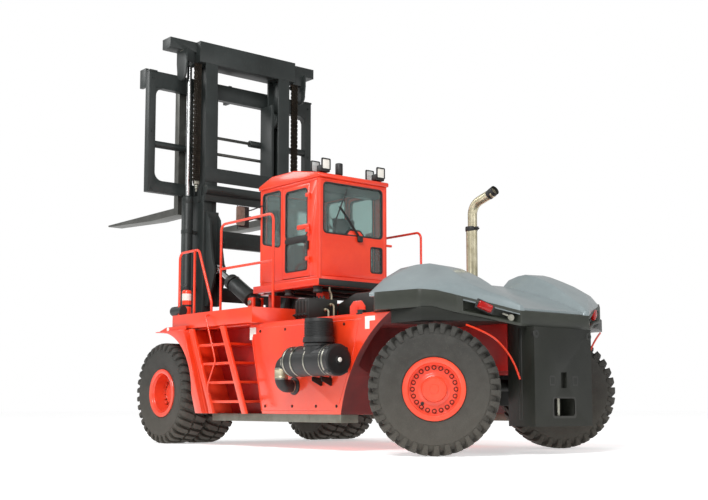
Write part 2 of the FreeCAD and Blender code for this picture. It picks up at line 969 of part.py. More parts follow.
def ladders():
    boards = box((fore(d.arch_foot), behind(d.board_front)), (d.board_inner, d.side_half),
                 (d.board_low, d.side_low))
    node(both_sides(boards), "running_boards")
    rise = d.frame_top - d.side_low
    lean = (d.ladder_foot_front - d.ladder_top_front) / rise
    outer = (d.ladder_outer - d.stile_wall, d.ladder_outer)
    pieces = []
    for shift in (0, d.ladder_gap):
        top = d.ladder_top_front + shift
        foot = d.ladder_foot_front + shift
        pieces.append(prism("XZ", [
            (behind(top), d.frame_top), (behind(foot), d.side_low),
            (behind(foot + d.stile_width), d.side_low), (behind(top + d.stile_width), d.frame_top),
        ], outer[0], outer[1]))
    for count in range(4):
        height = d.side_low + d.rung_first + d.rung_step * count
        back = d.ladder_foot_front - lean * (height - d.side_low)
        x = (behind(back + d.ladder_gap + d.stile_width / 2), behind(back + d.stile_width / 2))
        pieces.append(box(x, (d.step_half, d.ladder_outer - d.stile_wall), (height, height + d.rung_wall)))
    node(both_sides(fuse(pieces)), "ladders")


def platforms():
    z = (deck_top, d.platform_top)
    plate = box((behind(d.platform_rear), behind(d.deck_front)), (d.platform_inner, d.platform_half), z)
    deck = box((fore(d.deck_rear), behind(d.deck_front)), (-d.deck_half, d.deck_half), (d.frame_top, z[0]))
    x = behind(d.tilt_eye_back)
    low = (d.tilt_ear_inner, d.tilt_ear_outer)
    ears = [cylinder("Y", d.tilt_pin_radius, (x, low[0], tilt_eye_height), low[1] - low[0] + d.tilt_ear_wall)]
    for y in low:
        ears.append(box((x - d.tilt_ear_back, x + d.tilt_ear_front), (y, y + d.tilt_ear_wall),
                        (d.platform_top, tilt_eye_height + d.tilt_ear_top)))
    side = [plate] + ears
    node(fuse([deck] + side + [mirrored(item) for item in side]), "platforms")


# ---------------------------------------------------------------- handrails


def handrails():
    r = d.rail_radius
    y = d.platform_half - 3 * r
    top = d.rail_top
    stand = d.platform_top
    foot = behind(d.rail_foot)
    front = bent_tube(r, [
        (behind(d.rail_front), y, stand), (behind(d.rail_front), y, top), (behind(d.rail_corner), y, top),
        (foot, y, stand + d.rail_foot_rise), (foot, y, stand),
    ], d.rail_bend)
    post = bent_tube(r, [(behind(d.rail_post), y, stand), (behind(d.rail_post), y, top)], d.rail_bend)
    ladder_rail = tube_node([front, post])
    y = d.walk_rail_place
    top = d.walk_rail_top
    middle = (stand + top) / 2
    x = (behind(d.walk_rail_front), behind(d.walk_rail_rear))
    long = bent_tube(r, [(x[0], y, stand), (x[0], y, top), (x[1], y, top), (x[1], y, stand)], d.rail_bend)
    cross = bent_tube(r, [(x[0], y, middle), (x[1], y, middle)], d.rail_bend)
    walk_rail = tube_node([long, cross])
    node(together([ladder_rail, mirrored(ladder_rail), walk_rail, mirrored(walk_rail)]), "handrails")


# ---------------------------------------------------------------- cab


def cab_base():
    base = box((behind(d.base_rear), behind(d.base_front)), (-d.base_half, d.base_half), (d.base_low, d.base_top))
    # the tilt cylinders pass up beside the front of the base
    inner = d.tilt_place - d.tilt_barrel_radius - d.base_notch
    notch = box((behind(d.tilt_eye_back + d.tilt_tail + d.base_notch), behind(d.base_front - 1)),
                (inner, d.base_half + 1), (d.base_low - 1, d.base_top + 1))
    columns = []
    for place in (d.column_front, d.column_rear):
        columns.append(box((behind(place + d.column_half), behind(place - d.column_half)),
                           (d.frame_inner, d.frame_inner + d.column_width), (deck_top, d.base_low)))
    whole = fuse([base] + columns + [mirrored(item) for item in columns])
    node(cut(whole, [notch, mirrored(notch)]), "cab_base")


def hinge_heights():
    return [d.door_low + d.hinge_first, d.door_low + d.hinge_second, d.door_low + d.hinge_third]


def lower_hinge(height):
    """The pillar's half of a lift-off hinge: a lug with its pin standing up."""
    x = behind(d.door_rear)
    y = d.cab_half + d.hinge_out
    r = d.hinge_radius
    lug = box((x - r, x + d.door_gap - 1), (d.cab_half, y + r), (height - d.hinge_lug, height))
    pin = cylinder("Z", d.hinge_pin_radius, (x, y, height - d.hinge_lug / 2), d.hinge_height + d.hinge_lug / 4)
    return fuse([lug, pin])


def upper_hinge(height):
    """The door's half of a lift-off hinge: a ring on an arm, just clear above the lug."""
    x = behind(d.door_rear)
    y = d.cab_half + d.hinge_out
    z = (height + d.fit_gap, height + d.hinge_height)
    ring = cylinder("Z", d.hinge_radius, (x, y, z[0]), z[1] - z[0])
    arm = box((x, x + d.frame_bar + d.hinge_radius), (d.cab_half, y + d.hinge_radius), z)
    hole = cylinder("Z", d.hinge_pin_radius + d.fit_gap, (x, y, z[0] - 1), z[1] - z[0] + 2)
    gap = box((x - 1, x + d.door_gap), (d.cab_half - 1, y - d.hinge_slot), (z[0] - 1, z[1] + 1))
    return cut(fuse([ring, arm]), [hole, gap])


def quarter_window():
    """The outline of the window between the door and the front pillar."""
    rear = behind(d.door_front - d.frame_bar)
    front = behind(d.cab_front + d.frame_bar)
    top = d.cab_top - d.frame_bar
    sill = d.cab_sill
    return [(rear, sill + d.window_rise_rear), (front, sill + d.window_rise_front), (front, top), (rear, top)]


def cab_shell():
    x = (behind(d.cab_rear), behind(d.cab_front))
    half = d.cab_half
    wall = d.cab_wall
    bar = d.frame_bar
    skirt = box(x, (-half, half), (d.base_top, d.cab_sill))
    well = box((x[0] + wall, x[1] - wall), (wall - half, half - wall), (d.base_top + d.cab_sheet, d.cab_sill + 1))
    node(cut(skirt, [well]), "cab_floor")
    side = prism("XZ", rectangle(x, (d.cab_sill, d.cab_top)), half - wall, half)
    pocket(side, "XZ", rectangle((behind(d.door_rear), behind(d.door_front)), (d.cab_sill - 1, d.cab_top - bar)),
           half - wall - 1, half + 1)
    pocket(side, "XZ", quarter_window(), half - wall - 1, half + 1)
    side = fuse([side] + [lower_hinge(height) for height in hinge_heights()])
    node(both_sides(side), "cab_sides")
    y = (wall - half, half - wall)
    rear = prism("YZ", rectangle(y, (d.cab_sill, d.cab_top)), x[0], x[0] + wall)
    pocket(rear, "YZ", rectangle((-d.rear_window_half, d.rear_window_half),
                                 (d.cab_sill + d.rear_window_rise, d.cab_top - bar)), x[0] - 1, x[0] + wall + 1)
    front = prism("YZ", rectangle(y, (d.cab_sill, d.cab_top)), x[1] - wall, x[1])
    pocket(front, "YZ", rectangle((y[0] + bar, y[1] - bar), (d.cab_sill + d.front_window_rise, d.cab_top - bar)),
           x[1] - wall - 1, x[1] + 1)
    node(together([rear, front]), "cab_ends")
    lip = d.roof_lip
    low = d.cab_top
    edge = low + d.roof_wall
    crown = low + d.visor_height
    roof = prism("XZ", [
        (x[0] - lip, low), (x[0] - lip, edge), (x[0] + d.visor_rear, crown), (x[1] - d.visor_front, crown),
        (x[1] + lip, edge), (x[1] + lip, low),
    ], -half - lip, half + lip)
    node(roof, "cab_roof")


def cab_glass():
    x = (behind(d.cab_rear), behind(d.cab_front))
    glass = d.glass_wall / 2
    middle = d.cab_wall / 2
    top = d.cab_top - d.frame_bar
    y = d.cab_half - middle
    side = prism("XZ", quarter_window(), y - glass, y + glass)
    rear = box((x[0] + middle - glass, x[0] + middle + glass), (-d.rear_window_half, d.rear_window_half),
               (d.cab_sill + d.rear_window_rise, top))
    wide = d.cab_half - d.cab_wall - d.frame_bar
    front = box((x[1] - middle - glass, x[1] - middle + glass), (-wide, wide),
                (d.cab_sill + d.front_window_rise, top))
    node(together([side, mirrored(side), rear, front]), "cab_glass")


def doors():
    gap = d.door_gap
    bar = d.frame_bar
    half = d.cab_half
    x = (behind(d.door_rear - gap), behind(d.door_front + gap))
    z = (d.door_low, d.cab_top - bar - gap)
    y = (half - d.cab_wall + d.door_inset, half)
    door = prism("XZ", rectangle(x, z), y[0], y[1])
    low = (x[0] + bar, x[1] - bar)
    sill = d.door_low + d.door_sill
    pocket(door, "XZ", rectangle(low, (z[0] + d.door_kick, sill)), y[0] - 1, y[1] + 1)
    pocket(door, "XZ", rectangle(low, (sill + bar, z[1] - bar)), y[0] - 1, y[1] + 1)
    door = fuse([door] + [upper_hinge(height) for height in hinge_heights()])
    node(door, "door_left")
    node(mirrored(door), "door_right")
    middle = (y[0] + y[1]) / 2
    glass = (middle - d.glass_wall / 2, middle + d.glass_wall / 2)
    lower = box(low, glass, (z[0] + d.door_kick, sill))
    upper = box(low, glass, (sill + bar, z[1] - bar))
    panes = together([lower, upper])
    node(panes, "door_glass_left")
    node(mirrored(panes), "door_glass_right")


def cab_inside():
    floor = d.base_top + d.cab_sheet
    middle = d.seat_middle
    half = d.seat_half
    pad_low = floor + d.seat_rise
    pad_high = pad_low + d.seat_pad
    cushion = box((behind(middle + half), behind(middle - half)), (-half, half), (pad_low, pad_high))
    back = box((behind(middle + half + d.seat_back_out), behind(middle + half - d.seat_back_in)),
               (-d.seat_back_half, d.seat_back_half), (pad_high, pad_high + d.seat_back_rise))
    foot = d.seat_stand_half
    stand = box((behind(middle + foot), behind(middle - foot)), (-foot, foot), (floor, pad_low))
    node(fuse([cushion, back, stand]), "driver_seat")
    front = d.console_front
    console = prism("XZ", [
        (behind(front), floor), (behind(front), floor + d.console_low),
        (behind(front + d.console_slope), floor + d.console_high), (behind(front + d.console_depth), floor),
    ], -d.console_half, d.console_half)
    node(console, "steering_console")


# ---------------------------------------------------------------- hood, counterweight, engine


def hood():
    front = fore(d.hood_front)
    bend = aft(d.band_bend)
    end = aft(d.band_tail_end)
    outline = prism("XY", [
        (front, d.band_half), (aft(d.band_side_end), d.band_side),
        (aft(d.band_corner_end), d.band_corner), (aft(d.band_step_end), d.band_step),
        (end, d.band_tail), (end, -d.band_tail),
        (aft(d.band_step_end), -d.band_step), (aft(d.band_corner_end), -d.band_corner),
        (aft(d.band_side_end), -d.band_side), (front, -d.band_half),
    ], d.band_tail_low, d.hood_band_top)
    # the band is level over the wheels and runs down behind them
    fall = prism("XZ", [
        (front, d.hood_low), (front, d.hood_band_top), (bend, d.hood_band_top),
        (end, d.band_tail_top), (end, d.band_tail_low), (bend, d.hood_low),
    ], -d.band_half, d.band_half)
    band = common([outline, fall])
    top = d.hump_top
    profile = prism("XZ", [
        (front, d.hood_low), (front, top - d.hump_front_drop),
        (fore(d.hump_crest), top, "arc"), (aft(d.hump_back), top - d.hump_back_drop),
        (aft(d.hump_tail), top - d.hump_tail_drop), (end, top - d.hump_end_drop), (end, d.hood_low),
    ], d.hump_inner, d.band_half)
    # each hump falls from its ridge to the band's edge and to the valley in the middle
    outer = d.band_half - d.hump_margin
    across_hump = prism("YZ", [
        (d.hump_inner, d.hood_low), (outer, d.hood_low), (outer, d.hood_band_top),
        (d.hump_ridge, top), (d.hump_inner, top - d.hump_valley),
    ], end, front)
    hump_outline = prism("XY", [
        (front, outer), (aft(d.band_side_end), d.band_side - d.hump_margin),
        (aft(d.band_corner_end), d.band_corner - d.hump_margin),
        (aft(d.band_step_end), d.band_step - d.hump_margin),
        (end, d.band_tail - d.hump_margin), (end, d.hump_inner), (front, d.hump_inner),
    ], d.hood_low, top)
    hump = common([profile, across_hump, hump_outline])
    node(fuse([band, hump, mirrored(hump)]), "rear_hood")


def counterweight():
    rear = rear_axle - d.rear_overhang
    half = d.weight_half
    front = aft(d.weight_front)
    low = prism("XY", [
        (front, d.weight_nose), (rear + d.weight_chamfer, half), (rear, half),
        (rear, -half), (rear + d.weight_chamfer, -half), (front, -d.weight_nose),
    ], d.weight_low, d.weight_step)
    mouth = box((rear - 1, rear + d.tow_mouth_depth), (-d.tow_mouth_half, d.tow_mouth_half),
                (d.tow_mouth_low, d.tow_mouth_high))
    bore = cylinder("Z", d.tow_pin_radius, (rear + d.tow_pin_place, 0, d.weight_low - 1),
                    d.tow_mouth_low - d.weight_low + 2)
    slot = box((rear - 1, rear + d.tow_slot_depth), (-d.tow_slot_half, d.tow_slot_half),
               (d.tow_slot_low, d.tow_slot_high))
    side_end = aft(d.weight_side_end)
    corner_end = aft(d.weight_corner_end)
    tail_end = aft(d.band_tail_end)
    arch = fore(d.arch_top)
    high = prism("XY", [
        (arch, d.weight_side), (side_end, d.weight_side),
        (corner_end, d.weight_corner), (tail_end, d.band_tail),
        (rear, half), (rear, -half),
        (tail_end, -d.band_tail), (corner_end, -d.weight_corner),
        (side_end, -d.weight_side), (arch, -d.weight_side),
        (arch, -half), (front, -half), (front, half), (arch, half),
    ], d.weight_step, d.hood_low)
    # its top follows the hood's band
    fall = prism("XZ", [
        (arch, d.weight_low), (arch, d.hood_low), (aft(d.band_bend), d.hood_low),
        (tail_end, d.band_tail_low), (rear, d.band_tail_low), (rear, d.weight_low),
    ], -d.weight_side, d.weight_side)
    node(cut(common([fuse([low, high]), fall]), [mouth, bore, slot]), "counterweight")


def engine():
    block = box((fore(d.engine_rear), fore(d.engine_front)), (-d.engine_half, d.engine_half),
                (d.engine_low, d.frame_top))
    node(block, "engine_block")
    front = d.engine_cover_front
    cover = prism("XZ", [
        (behind(front), deck_top), (behind(front), d.engine_cover_low),
        (behind(front + d.engine_cover_slope), d.engine_cover_top), (fore(d.deck_rear), d.engine_cover_top),
        (fore(d.deck_rear), deck_top),
    ], -d.engine_cover_half, d.engine_cover_half)
    node(cover, "engine_cover")
    x = fore(d.exhaust_back)
    y = -d.exhaust_place
    top = d.exhaust_top
    stack = tube_node([bent_tube(d.exhaust_radius, [
        (x, y, d.engine_cover_top), (x, y, top), (x - d.exhaust_tail, y, top + d.exhaust_tail_rise),
    ], d.exhaust_bend)])
    node(stack, "exhaust_stack")


def intake():
    y = d.side_half + d.cleaner_radius + d.cleaner_gap
    z = d.cleaner_centre
    x = (fore(d.cleaner_rear), fore(d.cleaner_front))
    can = cylinder("X", d.cleaner_radius, (x[0], y, z), x[1] - x[0])
    pre = cylinder("Z", d.precleaner_radius, (fore(d.precleaner_place), y, z), d.precleaner_height)
    half = d.cleaner_foot_half
    foot = box((fore(d.cleaner_foot_rear), fore(d.cleaner_foot_front)), (d.side_half, y), (z - half, z + half))
    bend = fore(d.duct_place)
    duct = tube_node([bent_tube(d.duct_radius, [
        (x[1], y, z), (bend, y, z), (bend, y, d.duct_height), (bend, d.side_half, d.duct_height),
    ], d.duct_bend)])
    node(fuse([can, pre, foot, duct]), "air_cleaner")


def small_parts():
    tank = box((behind(d.valve_front + d.valve_length), behind(d.valve_front)), (d.valve_inner, d.valve_outer),
               (deck_top, deck_top + d.valve_height))
    node(tank, "valve_block")
    foot = (behind(d.bottle_back), d.bottle_place, d.platform_top)
    bottle = cylinder("Z", d.bottle_radius, foot, d.bottle_height)
    node(bottle, "extinguisher")
    # the lamps stand on the slope behind the visor
    low = d.cab_top + d.roof_wall
    rise = (d.visor_height - d.roof_wall) / (d.visor_rear + d.roof_lip)
    x = behind(d.cab_rear - d.lamp_half)
    half = d.lamp_half
    lamp_seat = low + (d.roof_lip + half * 2) * rise
    beacon_seat = low + (d.roof_lip + d.beacon_back + d.beacon_radius) * rise
    lamps = []
    for place in (d.lamp_place, -d.lamp_place):
        lamps.append(box((x - half, x + half), (place - d.lamp_width, place + d.lamp_width),
                         (lamp_seat, low + d.lamp_height)))
    lamps.append(cylinder("Z", d.beacon_radius, (behind(d.cab_rear - d.beacon_back), d.beacon_place, beacon_seat),
                          d.beacon_height))
    node(together(lamps), "roof_lamps")
    back = d.mirror_back
    wall = d.mirror_wall
    z = d.mirror_low
    mirror = box((behind(back), behind(back - wall)), (d.mirror_inner, d.mirror_inner + d.mirror_width),
                 (z, z + d.mirror_height))
    z = z + d.mirror_arm_rise
    arm = box((behind(back + wall), behind(back)), (d.cab_half, d.mirror_inner + d.mirror_lap), (z, z + wall))
    node(both_sides(fuse([mirror, arm])), "mirrors")


# ---------------------------------------------------------------- mast


def outer_mast():
    rear = ahead(d.outer_rear)
    front = rear + d.outer_depth
    outside = d.outer_half
    web = outside - d.outer_web
    lip = outside - d.outer_flange
    wall = d.outer_wall
    top = d.outer_top
    upright = prism("XY", [
        (rear, outside), (front, outside), (front, lip), (front - wall, lip),
        (front - wall, web), (rear + wall, web), (rear + wall, lip), (rear, lip),
    ], d.mast_low, top)
    node(both_sides(upright), "outer_uprights")
    y = (-outside, outside)
    radius = d.top_tube_radius
    bar_wall = d.top_bar_wall
    tube = cylinder("Y", radius, (rear + d.top_tube_in - radius, -outside, top + radius), outside * 2)
    bar = box((rear - bar_wall, rear), y, (top - d.top_bar_height, top))
    cap = box((rear - bar_wall, rear + wall), y, (top, top + bar_wall))
    half = d.cross_half
    middle = box((rear - d.cross_depth, rear), (-half, half), (d.cross_low, d.cross_low + d.cross_height))
    bottom = box((rear - d.bottom_tie_wall, rear), (-d.pivot_plate_inner, d.pivot_plate_inner),
                 (d.mast_low, d.mast_low + d.bottom_tie_height))
    back = rear + d.anchor_back
    anchor = box((back, back + d.anchor_width), (outside, outside + d.anchor_wall),
                 (top - d.anchor_width, top + d.anchor_rise))
    node(together([fuse([tube, bar, cap]), middle, bottom, anchor, mirrored(anchor)]), "outer_crossmembers")
    node(together(tilt_bracket() + pivot_plate()), "mast_brackets")


def tilt_bracket():
    """A pair of plates on the back of each upright that carry the tilt cylinder's pin."""
    rear = ahead(d.outer_rear)
    pin = (ahead(d.tilt_pin_ahead), d.tilt_pin_height)
    wall = d.tilt_ear_wall
    pieces = []
    for low in (d.bracket_inner, d.bracket_outer):
        pieces.append(prism("XZ", [
            (rear, d.bracket_high), (rear, d.bracket_low), (rear - d.bracket_foot, d.bracket_low),
            (pin[0] - d.bracket_chin, pin[1] - d.bracket_chin_drop), (pin[0] - d.bracket_nose, pin[1]),
            (pin[0] - d.bracket_brow, pin[1] + d.bracket_brow_rise),
            (rear - d.bracket_waist, d.bracket_waist_height),
            (rear - d.bracket_neck, d.bracket_high - d.bracket_neck_drop),
        ], low, low + wall))
    pieces.append(box((rear - d.bracket_back_wall, rear), (d.bracket_inner, d.bracket_outer + wall),
                      (d.bracket_low, d.bracket_high)))
    pieces.append(cylinder("Y", d.bracket_pin_radius, (pin[0], d.bracket_inner, pin[1]),
                           d.bracket_outer + wall - d.bracket_inner))
    bracket = fuse(pieces)
    return [bracket, mirrored(bracket)]


def pivot_plate():
    """The plate under each upright that turns about the drive axle's tube."""
    rear = ahead(d.outer_rear)
    y = (d.pivot_plate_inner, d.pivot_plate_inner + d.pivot_plate_wall)
    z = d.tyre_radius
    r = d.pivot_radius
    plate = prism("XZ", [
        (rear, z - r), (rear, z + r + d.pivot_brow), (front_axle, z + r), (front_axle - r, z, "arc"),
        (front_axle, z - r),
    ], y[0], y[1])
    hole = cylinder("Y", d.axle_tube_radius + d.fit_gap, (front_axle, y[0] - 1, z), d.pivot_plate_wall + 2)
    plate = cut(plate, [hole])
    return [plate, mirrored(plate)]


def lift_cylinders():
    x = ahead(d.lift_back)
    y = d.lift_place
    foot_x = (x - d.foot_half, x + d.foot_half)
    barrel = cylinder("Z", d.lift_barrel_radius, (x, y, d.lift_foot), d.lift_barrel_top - d.lift_foot)
    hollow = cylinder("Z", d.lift_rod_radius + d.fit_gap, (x, y, d.lift_foot + d.lift_floor), d.lift_barrel_top)
    foot = box(foot_x, (d.outer_half, y + d.lift_barrel_radius), (d.lift_foot - d.foot_wall, d.lift_foot))
    node(both_sides(fuse([cut(barrel, [hollow]), foot])), "lift_barrels")
    rod = cylinder("Z", d.lift_rod_radius, (x, y, d.lift_rod_low), beam_low - d.lift_rod_low)
    node(both_sides(rod), "lift_rods")


def inner_mast():
    rear = ahead(d.outer_rear) + d.outer_wall + d.mast_gap
    front = ahead(d.outer_rear) + d.outer_depth - d.outer_wall - d.mast_gap
    outside = d.outer_half - d.outer_web - d.mast_gap
    web = d.inner_web_place
    wall = d.inner_wall
    upright = prism("XY", [
        (rear, d.inner_half), (rear, outside), (rear + wall, outside), (rear + wall, web + d.inner_web),
        (front - wall, web + d.inner_web), (front - wall, outside), (front, outside), (front, d.inner_half),
        (front - wall, d.inner_half), (front - wall, web), (rear + wall, web), (rear + wall, d.inner_half),
    ], d.inner_low, beam_low)
    node(both_sides(upright), "inner_uprights")
    beam_front = front + d.beam_front
    beam = box((rear, beam_front), (-d.beam_half, d.beam_half), (beam_low, d.inner_top))
    ear_low = d.inner_top - d.ear_height
    ears = box((ahead(d.lift_back - d.ear_back), beam_front), (-d.beam_ear_half, d.beam_ear_half),
               (ear_low, d.inner_top))
    # under each ear hang the lift rod's head and the rounded cheek plate of the chain's sheave
    x = ahead(d.lift_back)
    half = d.rod_head_half
    head = box((x - half, x + half), (d.lift_place - half, d.cheek_place + 1), (beam_low, ear_low + 1))
    half = d.cheek_half
    low = ear_low - d.cheek_drop
    cheek = prism("XZ", [
        (x - half, ear_low + 1), (x - half, low + half * 2), (x - d.cheek_toe_half, low + half), (x, low, "arc"),
        (x + d.cheek_toe_half, low + half), (x + half, low + half * 2), (x + half, ear_low + 1),
    ], d.cheek_place, d.cheek_place + d.cheek_wall)
    hangers = [head, mirrored(head), cheek, mirrored(cheek)]
    ties = []
    for low in (d.inner_low, d.inner_low + d.middle_tie):
        ties.append(box((rear - d.tie_wall, rear), (-outside, outside), (low, low + d.tie_height)))
    node(together([fuse([beam, ears] + hangers)] + ties), "inner_crossbeams")
    x = ahead(d.lift_back - d.chain_back)
    y = d.outer_half + d.chain_gap
    # each chain's lower end runs beside its anchor plate on the outer mast
    chain = box((x, x + d.chain_depth), (y, y + d.chain_wall), (d.outer_top + d.chain_rise, beam_low))
    node(both_sides(chain), "lift_chains")


def tilt_cylinders():
    run = d.tilt_eye_back + d.tilt_pin_ahead
    rise = d.tilt_pin_height - tilt_eye_height
    span = square_root(run * run + rise * rise)
    slope = slope_of(rise, run)
    eye = (behind(d.tilt_eye_back), d.tilt_place, tilt_eye_height)
    # local +X runs from the frame's eye to the mast's pin
    tail = d.tilt_tail
    half = d.tilt_eye_half
    neck_half = d.tilt_neck_half
    shell = lying(d.tilt_barrel_radius, tail, d.tilt_barrel_length)
    hollow = lying(d.tilt_rod_radius + d.fit_gap, tail + d.tilt_floor, d.tilt_barrel_length + 1)
    ring = across(d.tilt_ring_radius, half, 0)
    neck = box((0, tail + 1), (-half, half), (-neck_half, neck_half))
    pin_hole = across(d.tilt_pin_radius + d.fit_gap, half + 1, 0)
    barrel = cut(fuse([cut(shell, [hollow]), ring, neck]), [pin_hole])
    node(both_sides(sloped(barrel, eye, slope)), "tilt_barrels")
    rod = lying(d.tilt_rod_radius, d.tilt_rod_start, span - d.tilt_rod_end)
    eye_ring = across(d.rod_eye_radius, half, span)
    eye_hole = across(d.rod_eye_hole, half + 1, span)
    node(both_sides(sloped(cut(fuse([rod, eye_ring]), [eye_hole]), eye, slope)), "tilt_rods")


def lying(radius, start, end):
    return cylinder("X", radius, (start, 0, 0), end - start)


def across(radius, half, along):
    return cylinder("Y", radius, (along, -half, 0), half * 2)


def sloped(item, place, angle):
    """A joined piece laid along the tilt cylinder's slope."""
    holder = doc.addObject("Part::Compound", "Sloped")
    holder.Links = [item]
    put(holder, place, Rotation(Vector(0, -1, 0), number(angle)))
    bind(holder, "Placement.Rotation.Angle", angle)
    return holder


# ---------------------------------------------------------------- carriage and forks


def carriage():
    x = (ahead(d.carriage_rear), ahead(d.carriage_rear + d.carriage_wall))
    half = d.carriage_half
    low = carriage_low
    high = carriage_top
    post = d.carriage_post
    frame = prism("YZ", rectangle((-half, half), (low, high)), x[0], x[1])
    window = rectangle((post - half, half - post), (low + d.carriage_low_bar, high - d.carriage_top_bar))
    pocket(frame, "YZ", window, x[0] - 1, x[1] + 1)
    node(frame, "carriage_frame")
    roller_x = ahead(d.outer_rear) + d.outer_depth / 2
    y = d.roller_plate_place
    plates = box((roller_x - d.roller_plate_half, x[0]), (y, y + d.roller_plate_wall),
                 (low, low + d.roller_plate_height))
    pieces = [plates]
    channel = d.outer_depth - 2 * (d.outer_wall + d.mast_gap + d.inner_wall)
    radius = channel / 2 - d.fit_gap
    for height in (low + d.roller_low, low + d.roller_high):
        pieces.append(cylinder("Y", radius, (roller_x, y + d.roller_plate_wall, height), d.roller_width))
    node(both_sides(fuse(pieces)), "roller_brackets")
    shaft_x = x[1] + d.eye_gap + d.eye_radius
    lugs = []
    for start in (-half, -d.lug_wall / 2, half - d.lug_wall):
        lugs.append(box((x[1], shaft_x + d.lug_front), (start, start + d.lug_wall),
                        (shaft_height - d.lug_drop, shaft_height + d.lug_rise)))
    bar = cylinder("Y", d.shaft_radius, (shaft_x, -half, shaft_height), half * 2)
    node(fuse(lugs + [bar]), "fork_shaft")
    barrel_x = (x[0] + x[1]) / 2
    inside = half - post
    end = d.positioner_end
    length = inside - end
    hole_radius = d.positioner_rod_radius + d.fit_gap
    floor = d.positioner_floor
    barrels = []
    for sign, height in ((-1, positioner_high), (1, positioner_high - d.positioner_drop)):
        start = -inside if sign < 0 else end
        hollow_start = floor - inside if sign < 0 else end - 1
        outer = cylinder("Y", d.positioner_radius, (barrel_x, start, height), length)
        hole = cylinder("Y", hole_radius, (barrel_x, hollow_start, height), length - floor + 1)
        barrels.append(cut(outer, [hole]))
    node(together(barrels), "positioner_barrels")


def forks():
    x0 = ahead(d.carriage_rear + d.carriage_wall + d.fork_gap)
    x1 = x0 + d.fork_wall
    tip = ahead(d.fork_reach)
    top = fork_top
    low = top - d.blade_wall
    shank_top = shaft_height - d.fork_shank_drop
    shaft_x = ahead(d.carriage_rear + d.carriage_wall) + d.eye_gap + d.eye_radius
    barrel_x = ahead(d.carriage_rear + d.carriage_wall / 2)
    half = d.pusher_half
    heights = {"left": positioner_high, "right": positioner_high - d.positioner_drop}
    for side, sign in (("left", 1), ("right", -1)):
        place = sign * d.fork_place
        y = (place - d.fork_width / 2, place + d.fork_width / 2)
        blade = prism("XZ", [
            (x0, low), (x0, shank_top), (x1, shank_top), (x1, top), (tip, top),
            (tip, top - d.fork_tip_wall), (x0 + d.fork_heel, low),
        ], y[0], y[1])
        eye = cylinder("Y", d.eye_radius, (shaft_x, y[0], shaft_height), d.fork_width)
        hole = cylinder("Y", d.shaft_radius + d.fit_gap, (shaft_x, y[0] - 1, shaft_height), d.fork_width + 2)
        height = heights[side]
        lug = box((barrel_x - d.pusher_depth, x0), (place - half, place + half),
                  (height - d.pusher_height, height + d.pusher_height))
        length = d.fork_place + d.positioner_end + d.rod_spare
        start = place - half - length if sign > 0 else place + half
        rod = cylinder("Y", d.positioner_rod_radius, (barrel_x, start, height), length)
        node(cut(fuse([blade, eye, lug, rod]), [hole]), "fork_" + side)


def write_parts():
    doc.recompute()
    os.makedirs("parts", exist_ok=True)
    for item in doc.Objects:
        if "Invalid" in item.State or "Error" in item.State:
            raise RuntimeError("%s (%s) failed: %s" % (item.Name, item.Label, item.State))
    for item in nodes:
        if item.Shape.isNull() or not item.Shape.isValid() or not item.Shape.Solids:
            raise RuntimeError(item.Label + " has no valid shape")
    for item in nodes:
        item.Shape.exportStep("parts/" + item.Label + ".step")
    print(len(nodes), "nodes written")


for build in (drive_wheels, steer_wheels, drive_axle, steer_axle, main_frame, side_tanks, fenders, ladders,
              platforms, handrails, cab_base, cab_shell, cab_glass, doors, cab_inside, hood, counterweight,
              engine, intake, small_parts, outer_mast, lift_cylinders, inner_mast, tilt_cylinders, carriage, forks):
    build()
write_parts()
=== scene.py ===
import json
import math

import bmesh
import bpy
from mathutils import Matrix, Vector


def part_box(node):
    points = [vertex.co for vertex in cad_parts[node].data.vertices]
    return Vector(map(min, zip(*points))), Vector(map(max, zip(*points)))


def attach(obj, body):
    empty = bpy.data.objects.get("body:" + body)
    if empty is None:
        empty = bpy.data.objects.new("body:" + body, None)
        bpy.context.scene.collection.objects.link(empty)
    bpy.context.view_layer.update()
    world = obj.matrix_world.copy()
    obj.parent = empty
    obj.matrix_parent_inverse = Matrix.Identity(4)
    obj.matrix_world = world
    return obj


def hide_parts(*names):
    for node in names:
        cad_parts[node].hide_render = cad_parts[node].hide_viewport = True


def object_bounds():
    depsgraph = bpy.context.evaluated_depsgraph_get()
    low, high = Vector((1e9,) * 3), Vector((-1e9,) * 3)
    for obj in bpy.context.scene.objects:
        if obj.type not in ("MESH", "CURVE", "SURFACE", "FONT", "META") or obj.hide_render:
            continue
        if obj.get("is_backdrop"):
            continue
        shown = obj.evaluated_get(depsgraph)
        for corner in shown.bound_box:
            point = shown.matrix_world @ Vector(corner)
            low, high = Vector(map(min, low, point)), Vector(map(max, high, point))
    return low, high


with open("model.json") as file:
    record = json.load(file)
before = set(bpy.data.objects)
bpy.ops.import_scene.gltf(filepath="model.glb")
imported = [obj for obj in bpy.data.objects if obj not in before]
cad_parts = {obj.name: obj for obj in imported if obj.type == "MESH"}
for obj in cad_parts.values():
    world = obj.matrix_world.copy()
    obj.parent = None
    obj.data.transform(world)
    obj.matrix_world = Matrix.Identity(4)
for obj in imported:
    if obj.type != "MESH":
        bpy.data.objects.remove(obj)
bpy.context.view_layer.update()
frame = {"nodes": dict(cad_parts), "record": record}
print("frame loaded")

